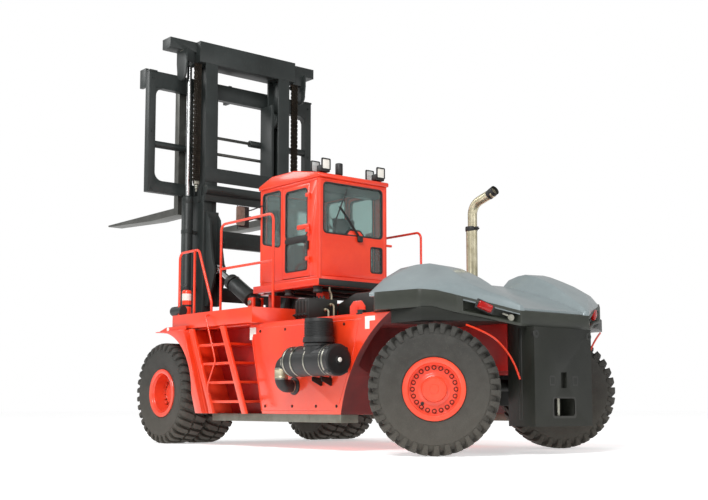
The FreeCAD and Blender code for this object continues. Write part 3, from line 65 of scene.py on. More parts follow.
# Places that every piece is worked out from: joints and boxes of the CAD frame.
joints = {joint["name"]: joint for joint in frame["record"]["behaviour"]["joints"]}
frontAxleX = joints["wheel_front_left_spin"]["pos_m"][0]
wheelHeight = joints["wheel_front_left_spin"]["pos_m"][2]
rearAxleX = joints["steer_left"]["pos_m"][0]
side = {"left": 1, "right": -1}
upwards = (0, 0, 1)
forwards = (1, 0, 0)
sideways = (0, 1, 0)
rearwards = (-1, 0, 0)
origin = (0, 0, 0)
normalOf = {"XZ": Vector(sideways), "YZ": Vector(forwards), "XY": Vector(upwards)}


def behind(distance):  # X of a place this far behind the drive axle
    return frontAxleX - distance


def deselectAll():
    for item in list(bpy.context.selected_objects):
        item.select_set(False)


def pick(piece):
    deselectAll()
    piece.select_set(True)
    bpy.context.view_layer.objects.active = piece
    return piece


def newest(name):
    piece = bpy.context.object
    piece.name = name
    piece.data.name = name
    return piece


def edit(piece):
    pick(piece)
    bpy.ops.object.mode_set(mode="EDIT")
    bpy.ops.mesh.select_all(action="SELECT")


def done(piece=None):
    bpy.ops.object.mode_set(mode="OBJECT")
    return piece


def chooseFaces(piece, test):  # selects, in edit mode, the faces whose middle and normal pass the test
    mesh = bmesh.from_edit_mesh(piece.data)
    bpy.ops.mesh.select_all(action="DESELECT")
    for face in mesh.faces:
        face.select_set(bool(test(face.calc_center_median(), face.normal)))
    mesh.select_flush_mode()
    bmesh.update_edit_mesh(piece.data)


def chooseEdges(piece, test):  # selects, in edit mode, the edges whose two ends pass the test
    bpy.ops.mesh.select_mode(type="EDGE")
    bpy.ops.mesh.select_all(action="DESELECT")
    mesh = bmesh.from_edit_mesh(piece.data)
    for edge in mesh.edges:
        edge.select_set(bool(test(edge.verts[0].co, edge.verts[1].co)))
    bmesh.update_edit_mesh(piece.data)


def applied(piece, kind, **settings):
    pick(piece)
    modifier = piece.modifiers.new(kind.title(), kind)
    for name, value in settings.items():
        setattr(modifier, name, value)
    bpy.ops.object.modifier_apply(modifier=modifier.name)
    return piece


def bevelled(piece, width, segments=2, angle=30):
    return applied(piece, "BEVEL", width=width, segments=segments, limit_method="ANGLE",
        angle_limit=math.radians(angle), harden_normals=False)


def smooth(piece, angle=35):
    pick(piece)
    bpy.ops.object.shade_smooth_by_angle(angle=math.radians(angle))
    return piece


def outwards(piece):
    edit(piece)
    bpy.ops.mesh.remove_doubles(threshold=0.0002)
    bpy.ops.mesh.normals_make_consistent(inside=False)
    return done(piece)


def joined(name, pieces):
    pick(pieces[0])
    for item in pieces:
        item.select_set(True)
    if len(pieces) > 1:
        bpy.ops.object.join()
    return newest(name)


def copied(piece, name):  # a copy with its own mesh
    pick(piece)
    bpy.ops.object.duplicate()
    return newest(name)


def turned(piece, degrees, axis, about):
    spin = Matrix.Rotation(math.radians(degrees), 4, Vector(axis))
    piece.data.transform(Matrix.Translation(Vector(about)) @ spin @ Matrix.Translation(-Vector(about)))
    return piece


def addBlock(name, low, high, bevel=0.008, segments=2):
    deselectAll()
    bpy.ops.mesh.primitive_cube_add(size=1, location=origin)
    piece = newest(name)
    edit(piece)
    size = [abs(b - a) for a, b in zip(low, high)]
    bpy.ops.transform.resize(value=size, center_override=origin)
    bpy.ops.transform.translate(value=[(a + b) / 2 for a, b in zip(low, high)])
    done()
    if bevel:
        bevelled(piece, min(bevel, min(size) * 0.45), segments)
    return smooth(piece)


def ringOf(name, places):  # a closed loop of corners, one for each place
    deselectAll()
    bpy.ops.mesh.primitive_circle_add(vertices=len(places), radius=1, location=origin)
    piece = newest(name)
    for corner, place in zip(piece.data.vertices, places):
        corner.co = place
    return piece


def rectangle(left, low, right, high):
    return [(left, low), (right, low), (right, high), (left, high)]


def spread(plane, points, depth):
    if plane == "XZ":
        return [Vector((a, depth, b)) for a, b in points]
    if plane == "YZ":
        return [Vector((depth, a, b)) for a, b in points]
    return [Vector((a, b, depth)) for a, b in points]


def addPlate(name, plane, points, low, high, bevel=0.006, segments=2):  # an outline given thickness
    low, high = sorted((low, high))
    piece = ringOf(name, spread(plane, points, low))
    edit(piece)
    bpy.ops.mesh.edge_face_add()
    bpy.ops.mesh.extrude_region_move(TRANSFORM_OT_translate={"value": normalOf[plane] * (high - low)})
    bpy.ops.mesh.select_all(action="SELECT")
    bpy.ops.mesh.normals_make_consistent(inside=False)
    done()
    if bevel:
        bevelled(piece, bevel, segments)
    return smooth(piece)


def addTurned(name, points, centre, axis=sideways, steps=48, angle=35):
    # spins a section of (radius, distance along the axis) points about the axis
    along = Vector(axis).normalized()
    out = along.orthogonal().normalized()
    places = [Vector(centre) + out * radius + along * distance for radius, distance in points]
    piece = ringOf(name, places)
    edit(piece)
    bpy.ops.mesh.spin(steps=steps, angle=2 * math.pi, center=centre, axis=along)
    bpy.ops.mesh.select_all(action="SELECT")
    bpy.ops.mesh.remove_doubles(threshold=0.0002)
    bpy.ops.mesh.normals_make_consistent(inside=False)
    done()
    return smooth(piece, angle)


def capped(radius, shoulder, tip, height, base=0):  # the section of a round boss that narrows at its end
    return [(0, base), (radius, base), (radius, shoulder), (tip, height), (0, height)]


def repeated(piece, count, centre, axis):  # copies of a piece in a ring about an axis, all in its one mesh
    edit(piece)
    bpy.ops.mesh.spin(steps=count, dupli=True, angle=2 * math.pi, center=centre,
        axis=Vector(axis).normalized())
    bpy.ops.mesh.select_all(action="SELECT")
    bpy.ops.mesh.remove_doubles(threshold=0.0001)
    return done(piece)


def addTube(name, points, radius, bend=0.0, sides=12):  # a round bar with bent corners
    points = [Vector(point) for point in points]
    if len(points) == 2:
        points.insert(1, (points[0] + points[1]) / 2)
    piece = ringOf(name, points)
    edit(piece)
    first, last = tuple(points[0]), tuple(points[-1])
    chooseEdges(piece, lambda a, b: {tuple(a), tuple(b)} == {first, last})
    bpy.ops.mesh.delete(type="EDGE")
    bpy.ops.mesh.select_mode(type="VERT")
    if bend:
        bpy.ops.mesh.select_all(action="DESELECT")
        mesh = bmesh.from_edit_mesh(piece.data)
        for corner in mesh.verts:
            corner.select_set(len(corner.link_edges) == 2)
        bmesh.update_edit_mesh(piece.data)
        bpy.ops.mesh.bevel(offset=bend, segments=6, affect="VERTICES")
    done()
    bpy.ops.object.convert(target="CURVE")
    curve = bpy.context.object.data
    curve.bevel_depth = radius
    curve.bevel_resolution = max(0, sides // 4 - 1)
    curve.use_fill_caps = True
    bpy.ops.object.convert(target="MESH")
    return smooth(outwards(newest(name)), 40)


def addHose(name, points, radius, sides=12):  # a round strip along one smooth line near its route's points
    deselectAll()
    bpy.ops.curve.primitive_nurbs_path_add(location=origin)
    piece = newest(name)
    curve = piece.data
    curve.splines.clear()
    spline = curve.splines.new("NURBS")
    spline.points.add(len(points) - 1)
    for knot, point in zip(spline.points, points):
        knot.co = (*point, 1)
    spline.order_u = 3
    spline.use_endpoint_u = True
    spline.resolution_u = 6
    curve.bevel_depth = radius
    curve.bevel_resolution = max(0, sides // 4 - 1)
    curve.use_fill_caps = True
    bpy.ops.object.convert(target="MESH")
    return smooth(outwards(newest(name)), 60)


def cutBy(piece, cutter, operation="DIFFERENCE"):
    # takes the cutter's shape out, or keeps only what both share
    applied(piece, "BOOLEAN", operation=operation, object=cutter, solver="EXACT")
    bpy.data.objects.remove(cutter)
    return piece


def finishPiece(piece, material, body="root", *nodes, slot=None):
    piece.data.materials.clear()
    piece.data.materials.append(material)
    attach(piece, body)
    if nodes:
        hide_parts(*nodes)
    return piece


def put(name, pieces, material, body="root", *nodes, slot=None):  # joins the pieces into one and finishes it
    return finishPiece(joined(name, pieces), material, body, *nodes, slot=slot)


def rounded(points, radius, steps=4):  # an outline with each of its corners turned into a small arc
    result = []
    for index, point in enumerate(points):
        corner = Vector(point)
        back = Vector(points[index - 1]) - corner
        on = Vector(points[(index + 1) % len(points)]) - corner
        half = back.angle(on) / 2
        reach = min(radius / math.tan(half), back.length * 0.49, on.length * 0.49)
        size = reach * math.tan(half)
        middle = corner + (back.normalized() + on.normalized()).normalized() * (size / math.sin(half))
        start = corner + back.normalized() * reach - middle
        end = corner + on.normalized() * reach - middle
        for step in range(steps + 1):
            result.append(tuple(middle + start.slerp(end, step / steps) * size))
    return result


def inset(points, distance):  # a convex outline, drawn in by a distance all round
    middle = sum((Vector(point) for point in points), Vector((0, 0))) / len(points)
    lines = []
    for index, point in enumerate(points):
        a, b = Vector(point), Vector(points[(index + 1) % len(points)])
        normal = Vector((a.y - b.y, b.x - a.x)).normalized()
        if normal.dot(middle - a) < 0:
            normal = -normal
        lines.append((a + normal * distance, b + normal * distance))
    return [tuple(crossing(lines[index - 1], line)) for index, line in enumerate(lines)]


def crossing(first, second):
    a, b = first
    c, d = second
    run, other = b - a, d - c
    share = (c - a).cross(other) / run.cross(other)
    return a + run * share


def softened(node, bevel=0.008, segments=2, angle=30, soft=35):  # a CAD node's own shape with its edges eased
    source = frame["nodes"][node]
    deselectAll()
    source.select_set(True)
    bpy.context.view_layer.objects.active = source
    bpy.ops.object.duplicate()
    piece = newest(node + "Body")
    piece.parent = None
    piece.matrix_world = Matrix.Identity(4)
    for key in list(piece.keys()):
        del piece[key]
    edit(piece)
    bpy.ops.mesh.remove_doubles(threshold=0.00005)
    bpy.ops.mesh.dissolve_limited(angle_limit=math.radians(0.6))
    bpy.ops.mesh.normals_make_consistent(inside=False)
    done()
    if bevel:
        applied(piece, "BEVEL", width=bevel, segments=segments, limit_method="ANGLE",
            angle_limit=math.radians(angle), use_clamp_overlap=True)
    return smooth(piece, soft)


def linear(code):  # an sRGB hex value as the linear colour that the shaders take
    parts = [int(code[at:at + 2], 16) / 255 for at in (1, 3, 5)]
    return (*[part / 12.92 if part <= 0.04045 else ((part + 0.055) / 1.055) ** 2.4 for part in parts], 1)


def perMetre(millimetres):  # a noise scale whose blotches are about this many millimetres across
    return 1000 / millimetres


def addNode(tree, kind, values=None, links=None, **settings):
    node = tree.nodes.new(kind)
    for name, value in settings.items():
        setattr(node, name, value)
    for name, value in (values or {}).items():
        node.inputs[name].default_value = value
    for name, source in (links or {}).items():
        tree.links.new(source, node.inputs[name])
    return node


def newMaterial(name, **shader):
    material = bpy.data.materials.new(name)
    material.use_nodes = True
    tree = material.node_tree
    surface = tree.nodes["Principled BSDF"]
    for socket, value in shader.items():
        surface.inputs[socket.replace("_", " ")].default_value = value
    place = addNode(tree, "ShaderNodeTexCoord").outputs["Object"]
    return material, tree, surface, place


def paint(name, light, dark, dust, blotch, grime, rough, wear, dustTop, peel=9, bump=0.12, **shader):
    # enamel over steel: two tones, dust that settles below dustTop, worn spots and faint orange peel
    material, tree, surface, place = newMaterial(name, **shader)
    broad = addNode(tree, "ShaderNodeTexNoise", {"Scale": perMetre(blotch), "Detail": 6, "Roughness": 0.6},
        {"Vector": place})
    tones = addNode(tree, "ShaderNodeValToRGB", links={"Fac": broad.outputs["Fac"]})
    tones.color_ramp.elements[0].position, tones.color_ramp.elements[1].position = 0.3, 0.72
    tones.color_ramp.elements[0].color = linear(dark)
    tones.color_ramp.elements[1].color = linear(light)
    fine = addNode(tree, "ShaderNodeTexNoise", {"Scale": perMetre(grime), "Detail": 8, "Roughness": 0.7},
        {"Vector": place})
    height = addNode(tree, "ShaderNodeSeparateXYZ", links={"Vector": place})
    low = addNode(tree, "ShaderNodeMapRange", {"From Min": dustTop, "From Max": 0.0, "To Max": 0.55},
        {"Value": height.outputs["Z"]})
    dirt = addNode(tree, "ShaderNodeMath", links={0: fine.outputs["Fac"], 1: low.outputs["Result"]},
        operation="MULTIPLY")
    spots = addNode(tree, "ShaderNodeMapRange", {"From Min": 0.56, "From Max": 0.74, "To Max": wear},
        {"Value": fine.outputs["Fac"]})
    amount = addNode(tree, "ShaderNodeMath", links={0: dirt.outputs[0], 1: spots.outputs["Result"]},
        operation="MAXIMUM")
    mixed = addNode(tree, "ShaderNodeMix", {"B": linear(dust)},
        {"Factor": amount.outputs[0], "A": tones.outputs["Color"]}, data_type="RGBA")
    tree.links.new(mixed.outputs["Result"], surface.inputs["Base Color"])
    gloss = addNode(tree, "ShaderNodeMapRange", {"To Min": rough, "To Max": rough + 0.25},
        {"Value": amount.outputs[0]})
    tree.links.new(gloss.outputs["Result"], surface.inputs["Roughness"])
    skin = addNode(tree, "ShaderNodeTexNoise", {"Scale": perMetre(peel), "Detail": 3}, {"Vector": place})
    relief = addNode(tree, "ShaderNodeBump", {"Strength": bump, "Distance": 0.002},
        {"Height": skin.outputs["Fac"]})
    tree.links.new(relief.outputs["Normal"], surface.inputs["Normal"])
    return material


redPaint = paint("redEnamel", "#F0451F", "#DB2E14", "#B9785F", blotch=900, grime=60, rough=0.3, wear=0.12,
    dustTop=1.3, Coat_Weight=0.35, Coat_Roughness=0.12)
# a darker copy of the red enamel for the main frame and the step boxes: painted shade for parts that sit
# recessed or under the body
shadeRed = paint("redEnamelShaded", "#C4201A", "#9E1414", "#7A3A30", blotch=500, grime=45, rough=0.38,
    wear=0.2, dustTop=1.6)
# a dark red for the arch faces of the side tanks: painted shade, with dust over it
archShadePaint = paint("redEnamelUnderRoadDirt", "#7A120F", "#4E0B0A", "#3A2420", blotch=500, grime=45, rough=0.55,
    wear=0.3, dustTop=1.8)
mastPaint = paint("blackAlkydOnSteel", "#2B302F", "#1E2221", "#4A4840", blotch=600, grime=40, rough=0.44,
    wear=0.25, dustTop=0.1, Specular_IOR_Level=0.35)
blackPaint = paint("blackChassisPaint", "#1E201D", "#131412", "#4A463C", blotch=400, grime=35, rough=0.45,
    wear=0.25, dustTop=1.2)
ironPaint = paint("blackPaintOnCastIron", "#20221D", "#161814", "#3C3A32", blotch=700, grime=55, rough=0.42,
    wear=0.1, dustTop=0.9, peel=22, bump=0.2, Specular_IOR_Level=0.3)
hoodPaint = paint("silverGreyEnamel", "#8D989A", "#737E80", "#6A6C66", blotch=1100, grime=70, rough=0.3,
    wear=0.08, dustTop=0.1, Metallic=0.15, Coat_Weight=0.5, Coat_Roughness=0.1)
hoodDark = paint("darkGreyMouldedSkirt", "#343730", "#282B25", "#4A4740", blotch=600, grime=45, rough=0.36,
    wear=0.1, dustTop=0.3, peel=30, bump=0.15, Specular_IOR_Level=0.4)
boardPaint = paint("galvanisedTreadPlate", "#84857B", "#6C6D62", "#565246", blotch=160, grime=25, rough=0.5,
    wear=0.4, dustTop=1.0, Metallic=0.6)
forkSteel = paint("hotRolledForkSteel", "#62635F", "#4B4C48", "#6B5646", blotch=260, grime=30, rough=0.42,
    wear=0.5, dustTop=0.1, Metallic=0.7)
exhaustSteel = paint("aluminisedExhaustPipe", "#CFC8AE", "#A8A084", "#6D5E48", blotch=120, grime=25,
    rough=0.36, wear=0.3, dustTop=0.1, Metallic=0.75)
chromeRod = paint("hardChromeRod", "#D9DADA", "#C2C4C4", "#8C8A84", blotch=90, grime=12, rough=0.12, wear=0.1,
    dustTop=0.1, Metallic=1.0, bump=0.03)
zincSteel = paint("zincPlatedSteel", "#A9A89C", "#86857A", "#5E584C", blotch=40, grime=10, rough=0.34,
    wear=0.25, dustTop=0.1, Metallic=0.9)
nutSteel = paint("weatheredWheelNuts", "#5A2A20", "#34150F", "#2A2420", blotch=30, grime=8, rough=0.5,
    wear=0.4, dustTop=0.1, Metallic=0.4)
chainSteel = paint("oiledChainSteel", "#3B342B", "#211D18", "#6A5138", blotch=80, grime=14, rough=0.38,
    wear=0.5, dustTop=0.1, Metallic=0.8)
blackPlastic = paint("mouldedBlackPlastic", "#1C1D1D", "#141515", "#3B3A36", blotch=150, grime=20, rough=0.5,
    wear=0.15, dustTop=0.4, peel=3, bump=0.15)
rubber = paint("tyreRubber", "#33322E", "#24231F", "#6E675B", blotch=120, grime=18, rough=0.72, wear=0.35,
    dustTop=1.3, peel=5, bump=0.25)
hoseRubber = paint("hoseRubber", "#232322", "#181817", "#45413A", blotch=60, grime=12, rough=0.55, wear=0.2,
    dustTop=0.1, peel=3, bump=0.2)
whitePaint = paint("whiteEnamel", "#EDEBE4", "#DDDAD0", "#A49C8C", blotch=200, grime=30, rough=0.35, wear=0.1,
    dustTop=1.0)
seatVinyl = paint("seatVinyl", "#26282A", "#1A1B1D", "#4A4842", blotch=90, grime=20, rough=0.6, wear=0.12,
    dustTop=0.1, peel=2, bump=0.5)


def clearMaterial(name, code, density, roughness):
    # float glass and lamp plastic: coloured by transmission, with smears that only change the gloss
    material, tree, surface, place = newMaterial(name, Base_Color=linear(code), Transmission_Weight=density,
        IOR=1.45)
    smear = addNode(tree, "ShaderNodeTexNoise", {"Scale": perMetre(180), "Detail": 5}, {"Vector": place})
    rough = addNode(tree, "ShaderNodeMapRange", {"From Min": 0.4, "From Max": 0.8, "To Min": roughness,
        "To Max": roughness + 0.12}, {"Value": smear.outputs["Fac"]})
    tree.links.new(rough.outputs["Result"], surface.inputs["Roughness"])
    return material


cabGlass = clearMaterial("greenTintedGlass", "#D8EEEA", 0.94, 0.02)
lampRed = clearMaterial("redLampLens", "#C31410", 0.45, 0.12)
lampClear = clearMaterial("clearLampLens", "#E8ECEA", 0.6, 0.08)
print("materials made")

# the CAD nodes whose own shape is right, with their edges eased as flame-cut and welded plate is:
# each body's nodes, with the material and the width of the eased edge
plates = {
    "root": {
        "drive_axle": (blackPaint, 0.006), "steer_axle": (blackPaint, 0.008), "main_frame": (shadeRed, 0.005),
        "side_tanks": (redPaint, 0.012), "step_boxes": (shadeRed, 0.008), "fenders": (redPaint, 0.012),
        "running_boards": (boardPaint, 0.005), "ladders": (redPaint, 0.006), "platforms": (redPaint, 0.008),
        "handrails": (redPaint, 0), "cab_base": (redPaint, 0.008), "cab_floor": (redPaint, 0.01),
        "cab_sides": (redPaint, 0.01), "cab_ends": (redPaint, 0.01), "cab_roof": (redPaint, 0.02),
        "steering_console": (blackPlastic, 0.03), "counterweight": (ironPaint, 0.03),
        "engine_block": (blackPaint, 0.01), "engine_cover": (blackPaint, 0.02),
        "exhaust_stack": (exhaustSteel, 0.002), "air_cleaner": (blackPlastic, 0.008),
        "valve_block": (blackPaint, 0.012), "extinguisher": (redPaint, 0.02),
        "roof_lamps": (blackPlastic, 0.012), "mirrors": (blackPlastic, 0.012)},
    "knuckle_left": {"knuckle_left": (blackPaint, 0.006)},
    "knuckle_right": {"knuckle_right": (blackPaint, 0.006)},
    "door_left": {"door_left": (redPaint, 0.008)},
    "door_right": {"door_right": (redPaint, 0.008)},
    "mast_outer": {
        "outer_uprights": (mastPaint, 0.006), "outer_crossmembers": (mastPaint, 0.008),
        "mast_brackets": (mastPaint, 0.006), "lift_barrels": (mastPaint, 0.006)},
    "mast_inner": {
        "inner_uprights": (mastPaint, 0.006), "inner_crossbeams": (mastPaint, 0.008),
        "lift_rods": (chromeRod, 0)},
    "tilt_barrel": {"tilt_barrels": (mastPaint, 0.006)},
    "tilt_rod": {"tilt_rods": (chromeRod, 0.004)},
    "carriage": {
        "carriage_frame": (mastPaint, 0.01), "roller_brackets": (mastPaint, 0.006),
        "fork_shaft": (mastPaint, 0.006), "positioner_barrels": (mastPaint, 0.005)},
    "fork_left": {"fork_left": (forkSteel, 0.008)},
    "fork_right": {"fork_right": (forkSteel, 0.008)},
}
made = {}
for body, nodes in plates.items():
    for node, (material, bevel) in nodes.items():
        made[node] = finishPiece(softened(node, bevel), material, body, node)
for node in ("cab_glass", "door_glass_left", "door_glass_right"):
    frame["nodes"][node].data.materials.clear()
    frame["nodes"][node].data.materials.append(cabGlass)
print("plates eased")

# one lugged tyre, copied to the six places
tyre = {"radius": 0.8075, "carcass": 0.757, "lugs": 34, "lugLength": 0.088, "skew": 0.34}
sideProfile = [(0.338, 0.186), (0.386, 0.192), (0.398, 0.202), (0.410, 0.204), (0.418, 0.200), (0.450, 0.206),
    (0.490, 0.216), (0.540, 0.229), (0.590, 0.239), (0.630, 0.2435), (0.652, 0.2445), (0.668, 0.2445),
    (0.674, 0.238), (0.700, 0.224), (0.726, 0.203), (0.744, 0.178), (tyre["carcass"], 0.13), (0.760, 0.05)]
profile = sideProfile + [(radius, -along) for radius, along in reversed(sideProfile)]
carcass = addTurned("tyreCarcass", profile, origin, steps=72, angle=40)
top = tyre["radius"] - 0.0005
lug = addPlate("tyreLug", "YZ", [(0.018, 0.750), (0.018, top), (0.150, top), (0.188, 0.802), (0.214, 0.790),
    (0.236, 0.764), (0.2445, 0.722), (0.2445, 0.682), (0.232, 0.672), (0.180, 0.725)], -tyre["lugLength"] / 2,
    tyre["lugLength"] / 2, bevel=0.006, segments=1)
for corner in lug.data.vertices:
    corner.co.x += (corner.co.y - 0.13) * tyre["skew"]
    shrink = 1 - 0.35 * max(0, corner.co.y - 0.19) / 0.055
    corner.co.x *= shrink
    reach = math.hypot(corner.co.x, corner.co.z)
    if reach > top:  # the tread's face follows the tyre's round
        corner.co.x *= top / reach
        corner.co.z *= top / reach
lug = repeated(lug, tyre["lugs"], origin, sideways)
otherLugs = copied(lug, "tyreLugsInner")
otherLugs.data.transform(Matrix.Rotation(math.pi, 4, "Z") @ Matrix.Rotation(math.pi / tyre["lugs"], 4, "Y"))
tyreMaster = smooth(joined("tyreMaster", [carcass, lug, otherLugs]), 40)

# the deep front rim pair with its hub, and the flatter rear rim: sections of (radius, distance outwards)
studs = {"count": 20, "ring": 0.265, "length": 0.045, "size": 0.024, "washer": 0.030}
frontDisc, rearDisc = 1.725, 0.57
outerSection = [(0.225, 1.694), (0.300, 1.694), (0.302, 1.60), (0.304, 1.545), (0.372, 1.532), (0.386, 1.538),
    (0.386, 1.556), (0.336, 1.566), (0.330, 1.60), (0.330, 1.925), (0.342, 1.940), (0.380, 1.944),
    (0.386, 1.952), (0.386, 1.966), (0.380, 1.9745), (0.340, 1.9745), (0.318, 1.968), (0.308, 1.95),
    (0.304, 1.93), (0.300, 1.925), (0.302, 1.90), (0.302, 1.752), (0.292, 1.732), (0.275, 1.725),
    (0.225, 1.725)]
innerSection = [(radius, along - 0.53) for radius, along in outerSection[3:20]]
innerSection += [(0.302, 1.35), (0.300, 1.258), (0.225, 1.258), (0.225, 1.226), (0.302, 1.224), (0.304, 1.10)]
hubSection = [(0.1205, 1.166), (0.235, 1.166), (0.235, 1.728), (0.228, 1.738), (0.175, 1.742), (0.163, 1.750),
    (0.157, 1.760), (0.157, 1.784), (0.150, 1.794), (0.142, 1.7945), (0.138, 1.788), (0.062, 1.788),
    (0.058, 1.794), (0, 1.794), (0, 1.70), (0.1205, 1.70)]
rearSection = [(0.19, 0.539), (0.298, 0.539), (0.302, 0.45), (0.304, 0.25), (0.372, 0.232), (0.386, 0.238),
    (0.386, 0.256), (0.336, 0.266), (0.330, 0.3), (0.330, 0.618), (0.342, 0.636), (0.380, 0.64),
    (0.386, 0.648), (0.386, 0.662), (0.380, 0.6695), (0.340, 0.6695), (0.322, 0.664), (0.312, 0.648),
    (0.308, 0.622), (0.300, 0.616), (0.304, 0.6), (0.300, 0.582), (0.288, 0.572), (0.19, 0.57)]
rearHubSection = [(0.0805, 0.15), (0.200, 0.15), (0.200, 0.576), (0.190, 0.58), (0.172, 0.582),
    (0.160, 0.588), (0.157, 0.598), (0.155, 0.63), (0.148, 0.639), (0.138, 0.6395), (0.132, 0.632),
    (0.060, 0.632), (0.055, 0.639), (0, 0.639), (0, 0.55), (0.0805, 0.55)]


def addStuds(name, count, ring, face, out, size):
    # a ring of hexagon nuts and stud ends about the local Y axis
    nut = addTurned(name + "Nut", capped(size * 0.78, face + out * 0.62, size * 0.66, face + out * 0.72,
        face), (0, 0, ring), steps=6, angle=20)
    stud = addTurned(name + "Stud", capped(size * 0.4, face + out * 0.93, size * 0.32, face + out, face),
        (0, 0, ring), steps=10)
    return repeated(joined(name, [nut, stud]), count, origin, sideways)


def addWashers(name, count, ring, face, size):  # the dark cupped washers under the wheel nuts
    washer = addTurned(name, [(size * 0.4, face - 0.002), (size, face - 0.002), (size, face + 0.003),
        (size * 0.86, face + 0.006), (size * 0.4, face + 0.006)], (0, 0, ring), steps=20)
    return repeated(washer, count, origin, sideways)


frontMaster = joined("frontRimMaster", [
    addTurned("outerRim", outerSection, origin, steps=64),
    addTurned("innerRim", innerSection, origin, steps=64),
    addTurned("frontHub", hubSection, origin, steps=48),
    addStuds("frontStuds", studs["count"], studs["ring"], frontDisc, studs["length"], studs["size"]),
    addStuds("frontCapScrews", 10, 0.115, 1.788, 0.006, 0.012)])
frontNuts = addWashers("frontWashers", studs["count"], studs["ring"], frontDisc, studs["washer"])
rearMaster = joined("rearRimMaster", [
    addTurned("rearRim", rearSection, origin, steps=64),
    addTurned("rearHub", rearHubSection, origin, steps=48),
    addStuds("rearStuds", studs["count"], studs["ring"], rearDisc, studs["length"], studs["size"]),
    addStuds("rearCapScrews", 8, 0.100, 0.632, 0.006, 0.011)])
rearNuts = addWashers("rearWashers", studs["count"], studs["ring"], rearDisc, studs["washer"])
stemSection = [(0, 0.57), (0.013, 0.57), (0.011, 0.60), (0.008, 0.602), (0.008, 0.62), (0, 0.62)]
valveMaster = joined("valveMaster", [
    addTurned("valvePocket", rectangle(0, 0.568, 0.022, 0.574), (0, 0, -0.225), steps=16),
    addTurned("valveStem", stemSection, (0, 0, -0.225), steps=12)])


def placedCopy(master, name, place, degrees, roll=0):
    twin = copied(master, name)
    twin.data.transform(Matrix.Translation(Vector(place)) @ Matrix.Rotation(math.radians(degrees), 4,
        "Z") @ Matrix.Rotation(math.radians(roll), 4, "Y"))
    return twin


kingpin = joints["steer_left"]["pos_m"][1]
steerAngle = {"left": 46, "right": 56}
for name, sign in side.items():
    turn = 0 if sign > 0 else 180
    hub = (frontAxleX, 0, wheelHeight)
    pair = []
    for middle, roll in ((1.755, 0), (1.225, 4)):
        pair.append(placedCopy(tyreMaster, "frontTyre", (frontAxleX, sign * middle, wheelHeight), turn, roll))
    put("frontTyres_" + name, pair, rubber, "wheel_front_" + name, "drive_tyres_" + name, slot="tyre_rubber")
    finishPiece(placedCopy(frontMaster, "frontRims_" + name, hub, turn), redPaint, "wheel_front_" + name,
        "drive_rims_" + name, slot="red_paint")
    finishPiece(placedCopy(frontNuts, "frontNuts_" + name, hub, turn), nutSteel, "wheel_front_" + name)
    pin = (rearAxleX, sign * kingpin, wheelHeight)
    wheel = placedCopy(tyreMaster, "rearTyre_" + name, (0, 0.45, 0), 0)
    wheel.data.transform(Matrix.Translation(Vector(pin)) @ Matrix.Rotation(math.radians(steerAngle[name]
        + turn), 4, "Z"))
    finishPiece(wheel, rubber, "wheel_rear_" + name, "steer_tyre_" + name, slot="tyre_rubber")
    finishPiece(placedCopy(rearMaster, "rearRim_" + name, pin, steerAngle[name] + turn), redPaint,
        "wheel_rear_" + name, "steer_rim_" + name, slot="red_paint")
    finishPiece(placedCopy(valveMaster, "rearValve_" + name, pin, steerAngle[name] + turn, -40), hoseRubber,
        "wheel_rear_" + name)
    finishPiece(placedCopy(rearNuts, "rearNuts_" + name, pin, steerAngle[name] + turn), nutSteel,
        "wheel_rear_" + name)
for master in (tyreMaster, frontMaster, rearMaster, valveMaster, frontNuts, rearNuts):
    bpy.data.objects.remove(master)
print("wheels made")


def addFrame(name, plane, outer, inner, low, high):
    # a flat ring between two outlines with as many corners each
    low, high = sorted((low, high))
    pair = joined(name, [ringOf(name + "Out", spread(plane, outer, low)),
        ringOf(name + "In", spread(plane, inner, low))])
    edit(pair)
    bpy.ops.mesh.bridge_edge_loops()
    bpy.ops.mesh.select_all(action="SELECT")
    bpy.ops.mesh.extrude_region_move(TRANSFORM_OT_translate={"value": normalOf[plane] * (high - low)})
    bpy.ops.mesh.select_all(action="SELECT")
    bpy.ops.mesh.normals_make_consistent(inside=False)
    return smooth(done(pair), 40)


def windowTrim(name, plane, outline, low, high, radius=0.07):
    # the steel that rounds a window's corners, and its rubber
    low, high = sorted((low, high))
    corners = addFrame(name + "Corners", plane, rounded(inset(outline, -0.004), 0.001),
        rounded(inset(outline, 0.003), radius), low + 0.002, high - 0.002)
    rubberRing = addFrame(name + "Seal", plane, rounded(inset(outline, 0.001), radius),
        rounded(inset(outline, 0.024), radius - 0.018), low - 0.003, high + 0.003)
    return corners, bevelled(rubberRing, 0.002, 1)


